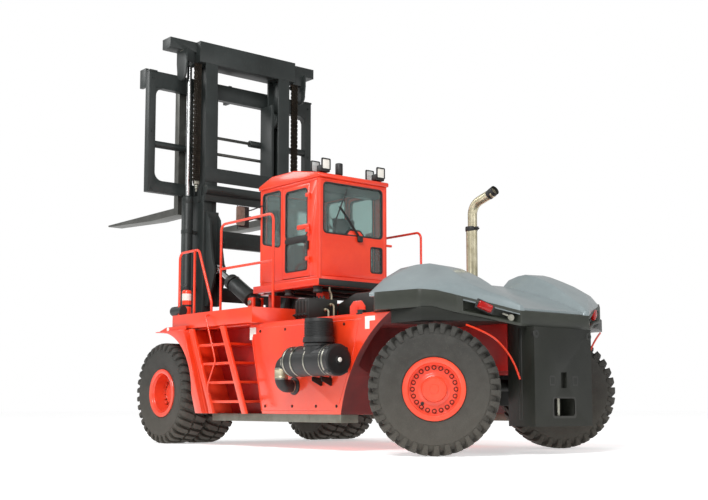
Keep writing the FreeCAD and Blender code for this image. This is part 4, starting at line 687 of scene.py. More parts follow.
# cab: window rubbers, rounded corners and what stands on the shell
cab = {"rear": behind(2.5), "front": behind(0.92), "half": 0.69, "base": 2.51, "top": 4.13, "bar": 0.055}
doorRear, doorFront = behind(2.264), behind(1.556)
pillar = cab["bar"]
lowerPane = rectangle(doorRear + pillar, 2.70, doorFront - pillar, 3.18)
upperPane = rectangle(doorRear + pillar, 3.235, doorFront - pillar, 4.014)
quarterPane = [(behind(1.495), 3.12), (behind(0.975), 3.23), (behind(0.975), 4.075), (behind(1.495), 4.075)]
rearPane = rectangle(-0.61, 3.26, 0.61, 4.075)
frontPane = rectangle(-0.585, 2.9, 0.585, 4.075)
smallPane = rectangle(-0.605, 2.70, -0.345, 3.13)
for name, sign in side.items():
    body = "door_" + name
    inner, outer = sign * 0.645, sign * 0.69
    lowerCorners, lowerSeal = windowTrim("lowerPane", "XZ", lowerPane, inner, outer, 0.05)
    upperCorners, upperSeal = windowTrim("upperPane", "XZ", upperPane, inner, outer)
    pullBar = addBlock("pullBar", (doorRear - 0.006, sign * 0.676, 3.35),
        (doorRear + 0.30, sign * 0.726, 3.43), 0.02, 3)
    put("doorCorners_" + name, [lowerCorners, upperCorners, pullBar], redPaint, body)
    midRail = addBlock("midRail", (doorRear + pillar - 0.002, sign * 0.64, 3.17),
        (doorFront - pillar + 0.002, sign * 0.698, 3.245), 0.006)
    handleRoute = [(0.10, 0.645, 2.82), (0.10, 0.60, 2.86), (0.22, 0.60, 2.88), (0.24, 0.645, 2.90)]
    handle = addTube("innerHandle", [(doorRear + x, sign * y, z) for x, y, z in handleRoute], 0.012, 0.02, 8)
    latch = addBlock("latch", (doorRear + 0.012, sign * 0.69, 3.02), (doorRear + 0.05, sign * 0.722, 3.16),
        0.008)
    put("doorSeals_" + name, [lowerSeal, upperSeal, midRail, handle, latch], hoseRubber, body)
    corners, seal = windowTrim("quarterPane", "XZ", quarterPane, sign * 0.64, sign * 0.69)
    put("quarterCorners_" + name, [corners], redPaint)
    gapOuter = rounded(rectangle(doorRear - 0.004, 2.602, doorFront + 0.004, 4.073), 0.03)
    gapInner = rounded(rectangle(doorRear + 0.012, 2.62, doorFront - 0.012, 4.058), 0.03)
    doorSeal = addFrame("doorGap", "XZ", gapOuter, gapInner, sign * 0.636, sign * 0.642)
    put("quarterSeal_" + name, [seal, doorSeal], hoseRubber)
rearX, frontX = cab["rear"], cab["front"]
bump = rounded([(-0.235, 3.25), (-0.13, 3.345), (0.07, 3.345), (0.155, 3.25)], 0.03)
rearCorners, rearSeal = windowTrim("rearPane", "YZ", rearPane, rearX, rearX + 0.05, 0.075)
frontCorners, frontSeal = windowTrim("frontPane", "YZ", frontPane, frontX - 0.05, frontX, 0.07)
smallCorners, smallSeal = windowTrim("smallPane", "YZ", smallPane, rearX, rearX + 0.05, 0.045)
wiperSeat = addPlate("wiperSeat", "YZ", bump, rearX - 0.002, rearX + 0.048, 0.002)
bumpEdge = rounded([(-0.27, 3.262), (-0.137, 3.37), (0.077, 3.37), (0.19, 3.262)], 0.03)
bumpSeal = addPlate("bumpSeal", "YZ", bumpEdge, rearX + 0.002, rearX + 0.046, 0.002)
opening = addBlock("smallOpening", (rearX - 0.02, smallPane[0][0], smallPane[0][1]),
    (rearX + 0.08, smallPane[1][0], smallPane[2][1]), 0)
smooth(cutBy(made["cab_ends"], opening))
put("cabCorners", [rearCorners, frontCorners, smallCorners, wiperSeat], redPaint)
put("cabSeals", [rearSeal, frontSeal, smallSeal, bumpSeal], hoseRubber)
smallGlass = addPlate("smallGlass", "YZ", rounded(inset(smallPane, 0.01), 0.03), rearX + 0.02, rearX + 0.028,
    0.001, 1)
finishPiece(smallGlass, cabGlass, "root", slot="cab_glass")

# the shell's corner posts: a rounded cover over each upright edge, and a drip rail under the roof
posts = []
postOutline = [(-0.004, 0.004), (0.062, 0.004), (0.062, -0.03), (0.03, -0.062), (-0.004, -0.062)]
for x, toward in ((rearX, 1), (frontX, -1)):
    for sign in (1, -1):
        y = sign * cab["half"]
        outline = rounded([(x + toward * along, y + sign * out) for along, out in postOutline], 0.028, 5)
        posts.append(addPlate("cornerPost", "XY", outline, cab["base"] + 0.012, cab["top"] - 0.004, 0.003, 1))
dripOut = 0.012
dripOuter = rounded(rectangle(rearX - dripOut, -0.702, frontX + dripOut, 0.702), 0.05)
dripInner = rounded(rectangle(rearX + 0.01, -0.68, frontX - 0.01, 0.68), 0.04)
drip = addFrame("dripRail", "XY", dripOuter, dripInner, 4.092, 4.112)
posts.append(bevelled(drip, 0.004, 1))
posts.append(addBlock("rearGrab", (rearX + 0.02, -0.83, 3.16), (rearX + 0.06, -0.69, 3.20), 0.012, 3))
put("cabPosts", posts, redPaint)
skirtOuter = rounded(rectangle(rearX - 0.006, -0.697, frontX + 0.006, 0.697), 0.05)
skirtInner = rounded(rectangle(rearX + 0.02, -0.67, frontX - 0.02, 0.67), 0.03)
skirt = addFrame("cabSkirt", "XY", skirtOuter, skirtInner, 2.505, 2.545)
finishPiece(skirt, hoseRubber)

# the wiper: motor cover, two arms side by side, one blade
motorY, motorZ = -0.115, 3.245
tipY, tipZ = 0.43, 3.86
armX = rearX - 0.03
motor = addBlock("wiperMotor", (rearX - 0.05, motorY - 0.05, motorZ - 0.07),
    (rearX, motorY + 0.05, motorZ + 0.03), 0.02, 3)
spindle = addTurned("wiperSpindle", capped(0.02, 0.045, 0.012, 0.055), (rearX - 0.055, motorY, motorZ),
    forwards, 20)
wiperArms = []
for shift in (0, 0.03):
    wiperArms.append(addTube("wiperArm", [(armX, motorY + shift, motorZ),
        (armX - 0.008, (motorY + tipY) / 2 + shift, (motorZ + tipZ) / 2),
        (armX, tipY - 0.14 + shift, tipZ - 0.16)], 0.009, 0.05, 8))
blade = addBlock("wiperBlade", (-0.007, -0.011, -0.34), (0.007, 0.011, 0.34), 0.004, 1)
blade.data.transform(Matrix.Translation((armX + 0.012, tipY - 0.15, tipZ - 0.17))
    @ Matrix.Rotation(math.radians(24), 4, "X"))
put("rearWiper", [motor, spindle] + wiperArms + [blade], blackPlastic)

# inside: lining, floor mat, wheel and levers
lining = addBlock("headLining", (rearX + 0.055, -0.635, 4.085), (frontX - 0.055, 0.635, 4.125), 0.02)
headDuct = addBlock("headDuct", (rearX + 0.055, -0.60, 3.93), (rearX + 0.26, 0.60, 4.09), 0.03)
mat = addBlock("floorMat", (rearX + 0.07, -0.62, 2.54), (frontX - 0.07, 0.62, 2.555), 0.005)
put("cabLining", [lining, headDuct, mat], blackPlastic)
hub = Vector((behind(1.30), 0, 3.33))
lean = Vector((-0.5, 0, 0.87)).normalized()
gripRing = [(0.19 + 0.016 * math.cos(step * math.tau / 12), 0.016 * math.sin(step * math.tau / 12))
    for step in range(12)]
wheelParts = [addTurned("wheelGrip", gripRing, hub, lean, 40, angle=60),
    addTurned("wheelBoss", [(0, -0.03), (0.045, -0.03), (0.05, 0.005), (0.04, 0.018), (0, 0.02)], hub, lean,
    24)]
spokeRun = lean.orthogonal().normalized()
for step in range(3):
    out = Matrix.Rotation(step * math.tau / 3 + 0.4, 3, lean) @ spokeRun
    wheelParts.append(addTube("spoke", [hub + out * 0.03, hub + out * 0.186], 0.009, 0, 8))
wheelParts.append(addTube("column", [hub - lean * 0.02, hub - lean * 0.24 + Vector((0.02, 0, 0))], 0.028, 0,
    14))
for y, height in ((-0.34, 3.17), (-0.40, 3.15), (-0.46, 3.13)):
    foot = (behind(1.62), y, 3.02)
    wheelParts.append(addTube("lever", [foot, (behind(1.60), y, height)], 0.008, 0, 8))
    wheelParts.append(addTurned("knob", [(0, -0.024), (0.015, -0.018), (0.024, 0), (0.02, 0.02), (0, 0.028)],
        (behind(1.60), y, height), upwards, 14))
wheelParts.append(addBlock("leverBox", (behind(1.80), -0.52, 2.55), (behind(1.48), -0.29, 3.03), 0.03, 3))
put("cabControls", wheelParts, blackPlastic)

# seat: suspension stand with its bellows, and two crowned cushions
seatX = behind(1.95)
folds = [(0.172 if step % 2 else 0.152, 2.56 + step * 0.028) for step in range(10)]
bellows = addTurned("bellows", [(0, 2.541)] + folds + [(0, 2.84)], (seatX, 0, 0), upwards, 4)
stand = [turned(bellows, 45, upwards, (seatX, 0, 0)), addBlock("seatPan", (seatX - 0.22, -0.23, 2.84),
    (seatX + 0.22, 0.23, 2.888), 0.015), addBlock("seatRest", (seatX - 0.34, -0.035, 2.86),
    (seatX - 0.30, 0.035, 3.2), 0.01)]
for sign in (1, -1):
    stand.append(addBlock("armRest", (seatX - 0.26, sign * 0.252, 3.17), (seatX + 0.12, sign * 0.31, 3.22),
        0.02, 3))
    stand.append(addBlock("armStem", (seatX - 0.28, sign * 0.25, 3.02), (seatX - 0.22, sign * 0.28, 3.2),
        0.008))
put("seatStand", stand, blackPlastic, slot="black_plastic")


def crownedCushion(name, low, high, crown, cap):
    # a padded block: remeshed, blown up by cloth pressure, then subdivided
    # crown: the axis its padding faces, the axis its length runs along, and the way it faces
    piece = addBlock(name, low, high, 0.03, 3)
    edit(piece)
    bpy.ops.mesh.subdivide(number_cuts=3)
    done()
    applied(piece, "REMESH", mode="VOXEL", voxel_size=0.006)
    before = [corner.co.copy() for corner in piece.data.vertices]
    pick(piece)
    modifier = piece.modifiers.new("Cloth", "CLOTH")
    modifier.settings.use_pressure = True
    modifier.settings.uniform_pressure_force = 4
    modifier.settings.effector_weights.gravity = 0
    modifier.settings.quality = 4
    for step in range(1, 21):
        bpy.context.scene.frame_set(step)
    graph = bpy.context.evaluated_depsgraph_get()
    after = [corner.co.copy() for corner in piece.evaluated_get(graph).data.vertices]
    piece.modifiers.remove(modifier)
    bpy.context.scene.frame_set(1)
    for corner, old, new in zip(piece.data.vertices, before, after):
        move = new - old
        corner.co = old + (move if move.length < cap else move.normalized() * cap)
    middle = [(a + b) / 2 for a, b in zip(low, high)]
    half = [(b - a) / 2 for a, b in zip(low, high)]
    up, length, facing = crown
    # the crown falls away towards the seams, and sewn channels press it in
    for corner in piece.data.vertices:
        along = (corner.co[length] - middle[length]) / half[length]
        aside = abs(corner.co.y - middle[1]) / half[1]
        if (corner.co[up] - middle[up]) / half[up] * facing > 0.2:
            sideChannels = math.exp(-((aside - 0.52) / 0.05) ** 2)
            crossChannel = math.exp(-((along - 0.1) / 0.04) ** 2) if aside < 0.5 else 0
            groove = max(sideChannels, crossChannel)
            corner.co[up] -= facing * (0.012 * groove + 0.010 * max(abs(along), aside) ** 3)
    applied(piece, "SUBSURF", levels=1, render_levels=1)
    return smooth(piece, 60)


cushion = crownedCushion("seatCushion", (seatX - 0.235, -0.232, 2.895), (seatX + 0.235, 0.232, 2.995),
    (2, 0, 1), 0.008)
backRest = crownedCushion("seatBack", (seatX - 0.335, -0.215, 3.025), (seatX - 0.245, 0.215, 3.575),
    (0, 2, 1), 0.008)
finishPiece(cushion, seatVinyl, "root", "driver_seat", slot="seat_fabric")
finishPiece(backRest, seatVinyl, "root", "driver_seat", slot="seat_fabric")
print("cab made")

# rear hood: a dark band round the tail with a grey hump on each side
hood = {"low": 1.82, "bandTop": 2.05, "bend": 0.36, "tailTop": 1.78, "tailLow": 1.59, "valleyTop": 2.275,
    "valleyBend": 2.05}
hoodFront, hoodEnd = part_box("rear_hood")[1][0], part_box("rear_hood")[0][0]


def aft(distance):  # X of a place this far behind the steering axle
    return rearAxleX - distance


bandEdge = [(hoodFront, 1.9), (aft(0.23), 1.75), (aft(0.53), 1.40), (aft(0.695), 1.06), (hoodEnd, 0.68)]
bandOutline = rounded(bandEdge + [(x, -y) for x, y in reversed(bandEdge)], 0.14, 5)
bandProfile = [(hoodFront + 0.01, hood["low"]), (hoodFront + 0.01, hood["bandTop"]),
    (aft(hood["bend"] - 0.12), hood["bandTop"] - 0.002), (aft(hood["bend"]), hood["bandTop"] - 0.018),
    (aft(hood["bend"] + 0.12), hood["bandTop"] - 0.062), (hoodEnd - 0.01, hood["tailTop"]),
    (hoodEnd - 0.01, hood["tailLow"]), (aft(hood["bend"]), hood["low"])]
band = addPlate("hoodBand", "XY", bandOutline, hood["tailLow"], hood["bandTop"], 0)
cutBy(band, addPlate("bandFall", "XZ", bandProfile, -2, 2, 0), "INTERSECT")
lampPlaces = {}
for name, sign in side.items():  # the lamp's hollow is cut into the band's corner
    a, b = Vector((aft(0.57), sign * 1.33)), Vector((hoodEnd + 0.01, sign * 0.69))
    run = (b - a).normalized()
    out = Vector((run.y, -run.x)) * sign
    wellOutline = ((0, 0.05), (0.78, 0.05), (0.70, -0.13), (0.05, -0.13))
    corners = [tuple(a + run * along + out * depth) for along, depth in wellOutline]
    well = addPlate("well", "XY", corners, 1.60, 2.1, 0)
    fall = [(aft(0.50), 1.955), (aft(0.50), 1.80), (hoodEnd - 0.02, 1.622), (hoodEnd - 0.02, 1.735)]
    cutBy(well, addPlate("wellFall", "XZ", fall, -2, 2, 0), "INTERSECT")
    cutBy(band, well)
    lampPlaces[name] = (a, run, out)
bevelled(band, 0.008, 2)
finishPiece(smooth(band, 40), hoodDark, "root", "rear_hood")

# each hump is lofted through sections that run from the band's edge over its ridge to the valley
drawnAxleX = 1.48  # where the drive axle stands in the sections' own measure
humpSections = {  # X: edge, ridge and shoulder, each as (y, z)
    -3.62: ((1.880, 2.045), (1.34, 2.405), (0.74, 2.395)),
    -3.80: ((1.846, 2.045), (1.21, 2.450), (0.73, 2.435)),
    -3.95: ((1.818, 2.045), (1.12, 2.460), (0.72, 2.445)),
    -4.15: ((1.780, 2.045), (1.05, 2.410), (0.72, 2.395)),
    -4.32: ((1.748, 2.045), (1.07, 2.340), (0.72, 2.325)),
    -4.48: ((1.640, 2.040), (1.12, 2.262), (0.71, 2.250)),
    -4.60: ((1.510, 2.015), (1.15, 2.190), (0.70, 2.180)),
    -4.70: ((1.385, 1.972), (1.12, 2.127), (0.69, 2.115)),
    -4.86: ((1.085, 1.898), (0.98, 2.032), (0.67, 2.022)),
    -4.98: ((0.880, 1.842), (0.82, 1.965), (0.63, 1.957)),
    -5.11: ((0.672, 1.782), (0.65, 1.860), (0.60, 1.852)),
}


def valleyHeight(x):
    bend = aft(hood["bend"])
    if x > bend:
        rise = hood["valleyTop"] - hood["valleyBend"]
        return hood["valleyBend"] - 0.03 + rise * min(1, (x - bend) / 0.80)
    return hood["tailTop"] + (hood["valleyBend"] - 0.03 - hood["tailTop"]) * (x - hoodEnd) / (bend - hoodEnd)


def addHump(sign):
    rings = []
    shift = frontAxleX - drawnAxleX
    for x, (edge, ridge, shoulder) in humpSections.items():
        bulge = ((edge[0] + ridge[0]) / 2 + 0.02, (edge[1] + ridge[1]) / 2 + 0.025)
        foot = (0.565, valleyHeight(x))
        places = [(edge[0], edge[1] - 0.05), edge, bulge, ridge, shoulder, foot, (foot[0], edge[1] - 0.05)]
        rings.append(ringOf("section", [(x + shift, sign * y, z) for y, z in places]))
    hump = joined("hump", rings)
    edit(hump)
    bpy.ops.mesh.bridge_edge_loops()
    chooseEdges(hump, lambda a, b: abs(a.x - b.x) < 0.001 and min(abs(a.x - hoodFront),
        abs(a.x - hoodEnd)) < 0.02)
    bpy.ops.mesh.edge_face_add()
    done()
    return outwards(hump)


humps = []
for sign in side.values():
    humps.append(bevelled(addHump(sign), 0.022, 3, 17))
bend = aft(hood["bend"])
valleyTop = [(x, valleyHeight(x) + 0.032) for x in (hoodFront - 0.01, bend + 0.80, bend + 0.55, bend + 0.3,
    bend + 0.08, bend - 0.1, hoodEnd + 0.03)]
humps.append(addPlate("hoodValley", "XZ", valleyTop + [(hoodEnd + 0.03, hood["tailTop"] - 0.03),
    (bend, hood["bandTop"] - 0.08), (hoodFront - 0.01, hood["bandTop"] - 0.03)], -0.57, 0.57, 0))
finishPiece(smooth(joined("hoodHumps", humps), 26), hoodPaint, "root", "rear_hood")

# lamps in the corners of the band, in black frames, each with a small cup and bracket beside it
for name, sign in side.items():
    a, run, out = lampPlaces[name]
    spin = math.degrees(math.atan2(run.y, run.x))
    fall = math.degrees(math.atan2(0.27, 0.66))

    def placed(piece, along, depth, height):
        turned(piece, fall, sideways, origin)
        turned(piece, spin, upwards, origin)
        spot = a + run * along + out * depth
        piece.data.transform(Matrix.Translation((spot.x, spot.y, height)))
        return piece

    lens = placed(addBlock("tailLens", (-0.095, -0.03, -0.05), (0.095, 0.03, 0.05), 0.02, 3), 0.30, -0.02,
        1.832)
    put("tailLamp_" + name, [lens], lampRed)
    bezel = placed(addBlock("tailFrame", (-0.125, -0.03, -0.064), (0.125, 0.0, 0.064), 0.02, 3), 0.30, -0.05,
        1.832)
    put("tailFrame_" + name, [bezel], blackPlastic)
    cup = placed(addTurned("cup", [(0, -0.02), (0.04, -0.02), (0.044, 0.0), (0.04, 0.025), (0.034, 0.028),
        (0.026, 0.008), (0, 0)], origin, (0, sign, 0), 24), 0.64, -0.05, 1.70)
    bracket = placed(addBlock("tailBracket", (-0.07, -0.012, -0.012), (0.07, 0.012, 0.012), 0.005), 0.60,
        -0.06, 1.728)
    put("tailBracket_" + name, [cup, bracket], zincSteel)

# counterweight: plugs, edges of the steps and the mouth, ribs, tow pin, and edge strips on the arches
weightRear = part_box("counterweight")[0][0]
parts = []
for y in (0.5075, -0.5075):
    parts.append(addTurned("plug", [(0.02, 0.006), (0.05, 0.006), (0.055, 0.0), (0.055, -0.03),
        (0.02, -0.03)], (weightRear + 0.005, y, 1.50), rearwards, 24))
for y in (0.22, -0.22):
    parts.append(addFrame("stepEdge", "YZ", rounded(rectangle(y - 0.055, 0.86, y + 0.055, 0.985), 0.02),
        rounded(rectangle(y - 0.035, 0.88, y + 0.035, 0.965), 0.01), weightRear - 0.001, weightRear + 0.02))
lip = rounded(rectangle(-0.23, 0.45, 0.23, 0.72), 0.04)
parts.append(addFrame("mouthLip", "YZ", lip, rounded(rectangle(-0.2, 0.48, 0.2, 0.70), 0.03),
    weightRear - 0.001, weightRear + 0.01))
for sign in (1, -1):
    parts.append(addBlock("weightRib", (weightRear + 0.20, sign * 0.50, 0.42),
        (weightRear + 0.27, sign * 0.556, 1.58), 0.02, 3))
put("weightDetails", parts, blackPaint)
pin = addTurned("towPin", [(0, 0.36), (0.026, 0.36), (0.028, 0.37), (0.028, 0.74), (0.05, 0.742),
    (0.05, 0.765), (0, 0.77)], (weightRear + 0.11, 0, 0), upwards, 24)
put("towPin", [pin], zincSteel)
sideStrips = []
for sign in (1, -1):
    sideStrips.append(addHose("archEdge", [(aft(0.60), sign * 1.30, 1.60), (aft(0.74), sign * 1.02, 1.50),
        (aft(0.80), sign * 0.80, 1.30), (aft(0.83), sign * 0.66, 1.10), (aft(0.84), sign * 0.60, 0.94)],
        0.014, 10))
put("archEdges", sideStrips, redPaint)
print("hood and counterweight made")

# leaf chains: rows of plates on pins, one pair of rows repeated up each chain
chain = {"pitch": 0.038, "plate": 0.011, "high": 0.062, "deep": 0.034, "pin": 0.0065}
chainLow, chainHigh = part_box("lift_chains")
chainX = (chainLow[0] + chainHigh[0]) / 2
for name, sign in side.items():
    y = sign * 1.05
    rows = []
    for row, shifts in enumerate(((-0.054, -0.018, 0.018, 0.054), (-0.036, 0, 0.036, -0.064, 0.064))):
        z = chainLow[2] + chain["high"] / 2 + row * chain["pitch"]
        outline = rounded(rectangle(chainX - chain["deep"] / 2, z - chain["high"] / 2,
            chainX + chain["deep"] / 2, z + chain["high"] / 2), 0.016, 2)
        for shift in shifts:
            middle = y + shift
            rows.append(addPlate("link", "XZ", outline, middle - chain["plate"] / 2,
                middle + chain["plate"] / 2, 0))
        rows.append(addTurned("linkPin", rectangle(0, -0.074, chain["pin"], 0.074),
            (chainX, y, z + chain["pitch"] / 2), sideways, 8))
    links = joined("chain_" + name, rows)
    count = int((chainHigh[2] - chainLow[2]) / (2 * chain["pitch"]))
    applied(links, "ARRAY", count=count, use_relative_offset=False, use_constant_offset=True,
        constant_offset_displace=(0, 0, 2 * chain["pitch"]))
    finishPiece(links, chainSteel, "mast_inner", "lift_chains")
    anchor = [addBlock("anchor", (chainX - 0.03, y - 0.05, chainLow[2] - 0.02),
        (chainX + 0.03, y + 0.05, chainLow[2] + 0.05), 0.012, 3),
        addTube("anchorBolt", [(chainX, y, chainLow[2] - 0.14), (chainX, y, chainLow[2])], 0.018, 0, 12)]
    for drop in (0.05, 0.085):
        anchor.append(addTurned("anchorNut", rectangle(0, 0, 0.032, 0.026), (chainX, y, chainLow[2] - drop),
            upwards, 6, angle=20))
    put("chainAnchor_" + name, anchor, zincSteel, "mast_inner")

# lift cylinders: glands, clamps and pipes on the barrels, bolted heads on the rods, and the top pins
barrelX, barrelY, rodTop = 2.156, 1.134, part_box("lift_rods")[1][2]
for name, sign in side.items():
    y = sign * barrelY
    gland = [addTurned("gland", [(0.052, 0), (0.098, 0), (0.1, -0.004), (0.1, -0.11), (0.098, -0.114),
        (0.096, -0.114), (0.096, -0.01), (0.052, -0.01)], (barrelX, y, 4.204), upwards, 40),
        addTurned("glandRing", [(0.047, 0), (0.08, 0), (0.084, 0.01), (0.08, 0.026), (0.047, 0.026)],
        (barrelX, y, 4.2), upwards, 36)]
    for height in (1.62, 2.6, 3.6):
        gland.append(addTurned("clampBand", rectangle(0.098, -0.03, 0.106, 0.03), (barrelX, y, height),
            upwards, 36))
        gland.append(addBlock("clampFoot", (2.12, sign * 0.96, height - 0.03),
            (2.19, y - sign * 0.09, height + 0.03), 0.006))
    feedRoute = [(2.056, y, 1.60), (1.985, y, 1.60), (1.975, y, 1.75), (1.975, y, 3.2)]
    gland.append(addTube("feedPipe", feedRoute, 0.014, 0.05, 12))
    gland.append(addTurned("portBoss", capped(0.035, 0.05, 0.025, 0.055), (2.065, y, 1.60), rearwards, 20))
    put("liftGland_" + name, gland, mastPaint, "mast_outer")
    head = [addTurned("rodCollar", [(0.046, 0), (0.075, 0), (0.08, -0.006), (0.08, -0.05), (0.075, -0.056),
        (0.046, -0.056)], (barrelX, y, rodTop - 0.02), upwards, 32)]
    for turn in range(4):
        spot = Matrix.Rotation(math.radians(45 + 90 * turn), 3, "Z") @ Vector((0.062, 0, 0))
        head.append(addTurned("headBolt", rectangle(0, 0, 0.013, -0.012),
            (barrelX + spot.x, y + spot.y, rodTop - 0.075), upwards, 6, angle=20))
    put("rodHead_" + name, head, mastPaint, "mast_inner")
    pinY = sign * 1.27
    pinHead = addTurned("cheekPin", capped(0.034, 0.012, 0.026, 0.02), (barrelX, pinY + sign * 0.02, 6.86),
        (0, sign, 0), 24)
    keeper = addBlock("pinKeeper", (2.10, pinY + sign * 0.02, 6.80), (2.212, pinY + sign * 0.034, 6.82),
        0.003)
    put("cheekPins_" + name, [pinHead, keeper], zincSteel, "mast_inner")

# carriage: curved corner plates, caps and bolt heads on the posts
low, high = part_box("carriage_frame")
post = 0.14
trim = []
for sign in (1, -1):
    for z, up in ((low[2] + 0.21, 1), (high[2] - 0.29, -1)):
        y, reach = sign * (high[1] - post), 0.15
        bow = [(y - sign * reach * (1 - math.sin(step * math.pi / 12)),
            z + up * reach * (1 - math.cos(step * math.pi / 12))) for step in range(1, 6)]
        trim.append(addPlate("corner", "YZ", [(y, z), (y - sign * reach, z)] + bow + [(y, z + up * reach)],
            low[0] + 0.01, high[0] - 0.01, 0))
    trim.append(addBlock("postCap", (low[0] - 0.012, sign * (high[1] - post - 0.01), high[2] - 0.02),
        (high[0] + 0.004, sign * (high[1] + 0.004), high[2] + 0.012), 0.004))
    for z in (low[2] + 0.06, (low[2] + high[2]) / 2, high[2] - 0.12):
        trim.append(addTurned("postBolt", rectangle(0, 0, 0.022, 0.016),
            (low[0], sign * (high[1] - post / 2), z), rearwards, 6, angle=20))
put("carriageTrim", trim, mastPaint, "carriage")

# tilt cylinders: a gland, ports and a pipe on each barrel, and the pins at their feet
tiltFoot, tiltEye = Vector((behind(0.94), 0, 2.27)), Vector((frontAxleX + 0.2, 0, 2.93))
along = (tiltEye - tiltFoot).normalized()
for name, sign in side.items():
    y = sign * 0.8
    foot = tiltFoot + Vector((0, y, 0))
    glands = [addTurned("tiltGland", [(0.052, -0.09), (0.127, -0.09), (0.131, -0.084), (0.131, 0.012),
        (0.12, 0.02), (0.052, 0.02)], foot + along * 0.82, along, 36)]
    for share in (0.20, 0.68):
        glands.append(addTurned("tiltPort", capped(0.026, 0.15, 0.018, 0.155, 0.1), foot + along * share,
            (-along.z, 0, along.x), 18))
    run = Vector((-along.z, 0, along.x)) * 0.145
    glands.append(addTube("tiltPipe", [foot + along * 0.20 + run, foot + along * 0.68 + run], 0.011, 0, 10))
    put("tiltGland_" + name, glands, blackPaint, "tilt_barrel")
    pins = [addTurned("clevisPin", capped(0.045, 0.012, 0.036, 0.02), foot + Vector((0, sign * 0.10, 0)),
        (0, sign, 0), 24)]
    put("tiltPins_" + name, pins, zincSteel)
print("mast made")

# Exhaust: a sleeve and its clamp round the lower pipe.
exhaust = {"x": -3.128, "y": -0.5, "foot": 2.262}
pipeFoot = (exhaust["x"], exhaust["y"], 0)
sleeve = addTurned("exhaustSleeve", [(0.0695, exhaust["foot"]), (0.118, exhaust["foot"]),
    (0.118, exhaust["foot"] + 0.014), (0.084, exhaust["foot"] + 0.03), (0.079, exhaust["foot"] + 0.06),
    (0.079, 3.165), (0.0695, 3.172)], pipeFoot, upwards, steps=40)
finishPiece(sleeve, exhaustSteel)
clampRing = addTurned("exhaustClamp", [(0.0795, 3.135), (0.087, 3.137), (0.090, 3.15), (0.090, 3.19),
    (0.087, 3.203), (0.0695, 3.205), (0.0695, 3.173), (0.0795, 3.166)], pipeFoot, upwards, steps=40)
ear = addPlate("exhaustEar", "XZ", rounded(rectangle(exhaust["x"] - 0.082, 3.145, exhaust["x"] - 0.135,
    3.195), 0.008), exhaust["y"] - 0.013, exhaust["y"] + 0.013, 0.003)
earBolt = addTurned("exhaustEarBolt", [(0, -0.036), (0.011, -0.036), (0.011, -0.022), (0.006, -0.022),
    (0.006, 0.022), (0.011, 0.022), (0.011, 0.032), (0, 0.032)], (exhaust["x"] - 0.118, exhaust["y"], 3.17),
    steps=6, angle=20)
put("exhaustClamp", [clampRing, ear, earBolt], blackPlastic)

# The dark mouth of the exhaust's tail.
tailRun = Vector((-0.4, 0, 0.19)).normalized()
mouthAt = Vector((-3.555, exhaust["y"], 3.652)) + tailRun * 0.025
mouth = addTurned("exhaustMouth", [(0.0565, -0.10), (0.0695, -0.10), (0.0705, -0.06), (0.0705, 0.035),
    (0.0645, 0.036), (0.0635, -0.02), (0, -0.03), (0, -0.05), (0.0565, -0.06)], mouthAt, tailRun, steps=40)
finishPiece(mouth, blackPlastic)

# Air cleaner: ribbed rain cap, bands round the can, end cover, the duct's collars and clamps, and the cradle.
cleaner = {"y": 1.975, "z": 1.205, "radius": 0.205, "rear": -3.1, "capX": -2.70}
capFoot = (cleaner["capX"], cleaner["y"], 0)
canRear = (cleaner["rear"], cleaner["y"], cleaner["z"])
canAxis = (0, cleaner["y"], cleaner["z"])
capSection = [(0.1895, 1.52)]
for number in range(9):
    base = 1.535 + number * 0.022
    capSection += [(0.1895, base), (0.1965, base + 0.004), (0.1965, base + 0.011), (0.1895, base + 0.015)]
capSection += [(0.1895, 1.735), (0.172, 1.7665), (0.12, 1.772), (0, 1.776), (0, 1.74), (0.16, 1.74),
    (0.185, 1.73), (0.185, 1.52)]
rainCap = addTurned("rainCap", capSection, capFoot, upwards, steps=48, angle=25)
capRim = addTurned("rainCapRim", [(0.19, 1.44), (0.212, 1.446), (0.214, 1.47), (0.206, 1.515), (0.19, 1.522)],
    capFoot, upwards, steps=48)
capBase = addTurned("rainCapBase", [(0.1, 1.38), (0.20, 1.40), (0.206, 1.425), (0.19, 1.441), (0.1, 1.441)],
    capFoot, upwards, steps=48)
put("rainCap", [rainCap, capRim, capBase], blackPlastic)
bands = []
skin = cleaner["radius"] - 0.001
for x, width, height in ((-3.02, 0.03, 0.006), (-2.955, 0.012, 0.004), (-2.62, 0.024, 0.007),
        (-2.33, 0.03, 0.008), (-2.16, 0.03, 0.006)):
    bands.append(addTurned("canBand", [(skin, -width / 2), (skin + height * 0.7, -width / 2),
        (skin + height, -width / 4), (skin + height, width / 4), (skin + height * 0.7, width / 2),
        (skin, width / 2)], (x, cleaner["y"], cleaner["z"]), forwards, steps=56))
for x in (-2.62, -2.33):
    bands.append(addBlock("bandBuckle", (x - 0.018, cleaner["y"] + 0.145, cleaner["z"] + 0.145),
        (x + 0.018, cleaner["y"] + 0.185, cleaner["z"] + 0.175), 0.006))
put("canBands", bands, zincSteel)
endCover = addTurned("cleanerEnd", [(0, -0.052), (0.05, -0.052), (0.056, -0.034), (0.15, -0.03),
    (0.17, -0.034), (0.196, -0.03), (0.212, -0.018), (0.212, 0.06), (0.2055, 0.064), (0.2055, 0.001),
    (0, 0.001)], canRear, forwards, steps=56)
endLatches = []
for number in range(4):
    latch = addBlock("endLatch", (cleaner["rear"] - 0.02, cleaner["y"] - 0.018, cleaner["z"] + 0.206),
        (cleaner["rear"] + 0.075, cleaner["y"] + 0.018, cleaner["z"] + 0.226), 0.006)
    endLatches.append(turned(latch, 45 + 90 * number, forwards, canAxis))
put("cleanerEnd", [endCover] + endLatches, blackPlastic)
endKnob = addTurned("cleanerKnob", [(0, -0.070), (0.022, -0.068), (0.03, -0.060), (0.032, -0.0525),
    (0, -0.0525)], canRear, forwards, steps=28)
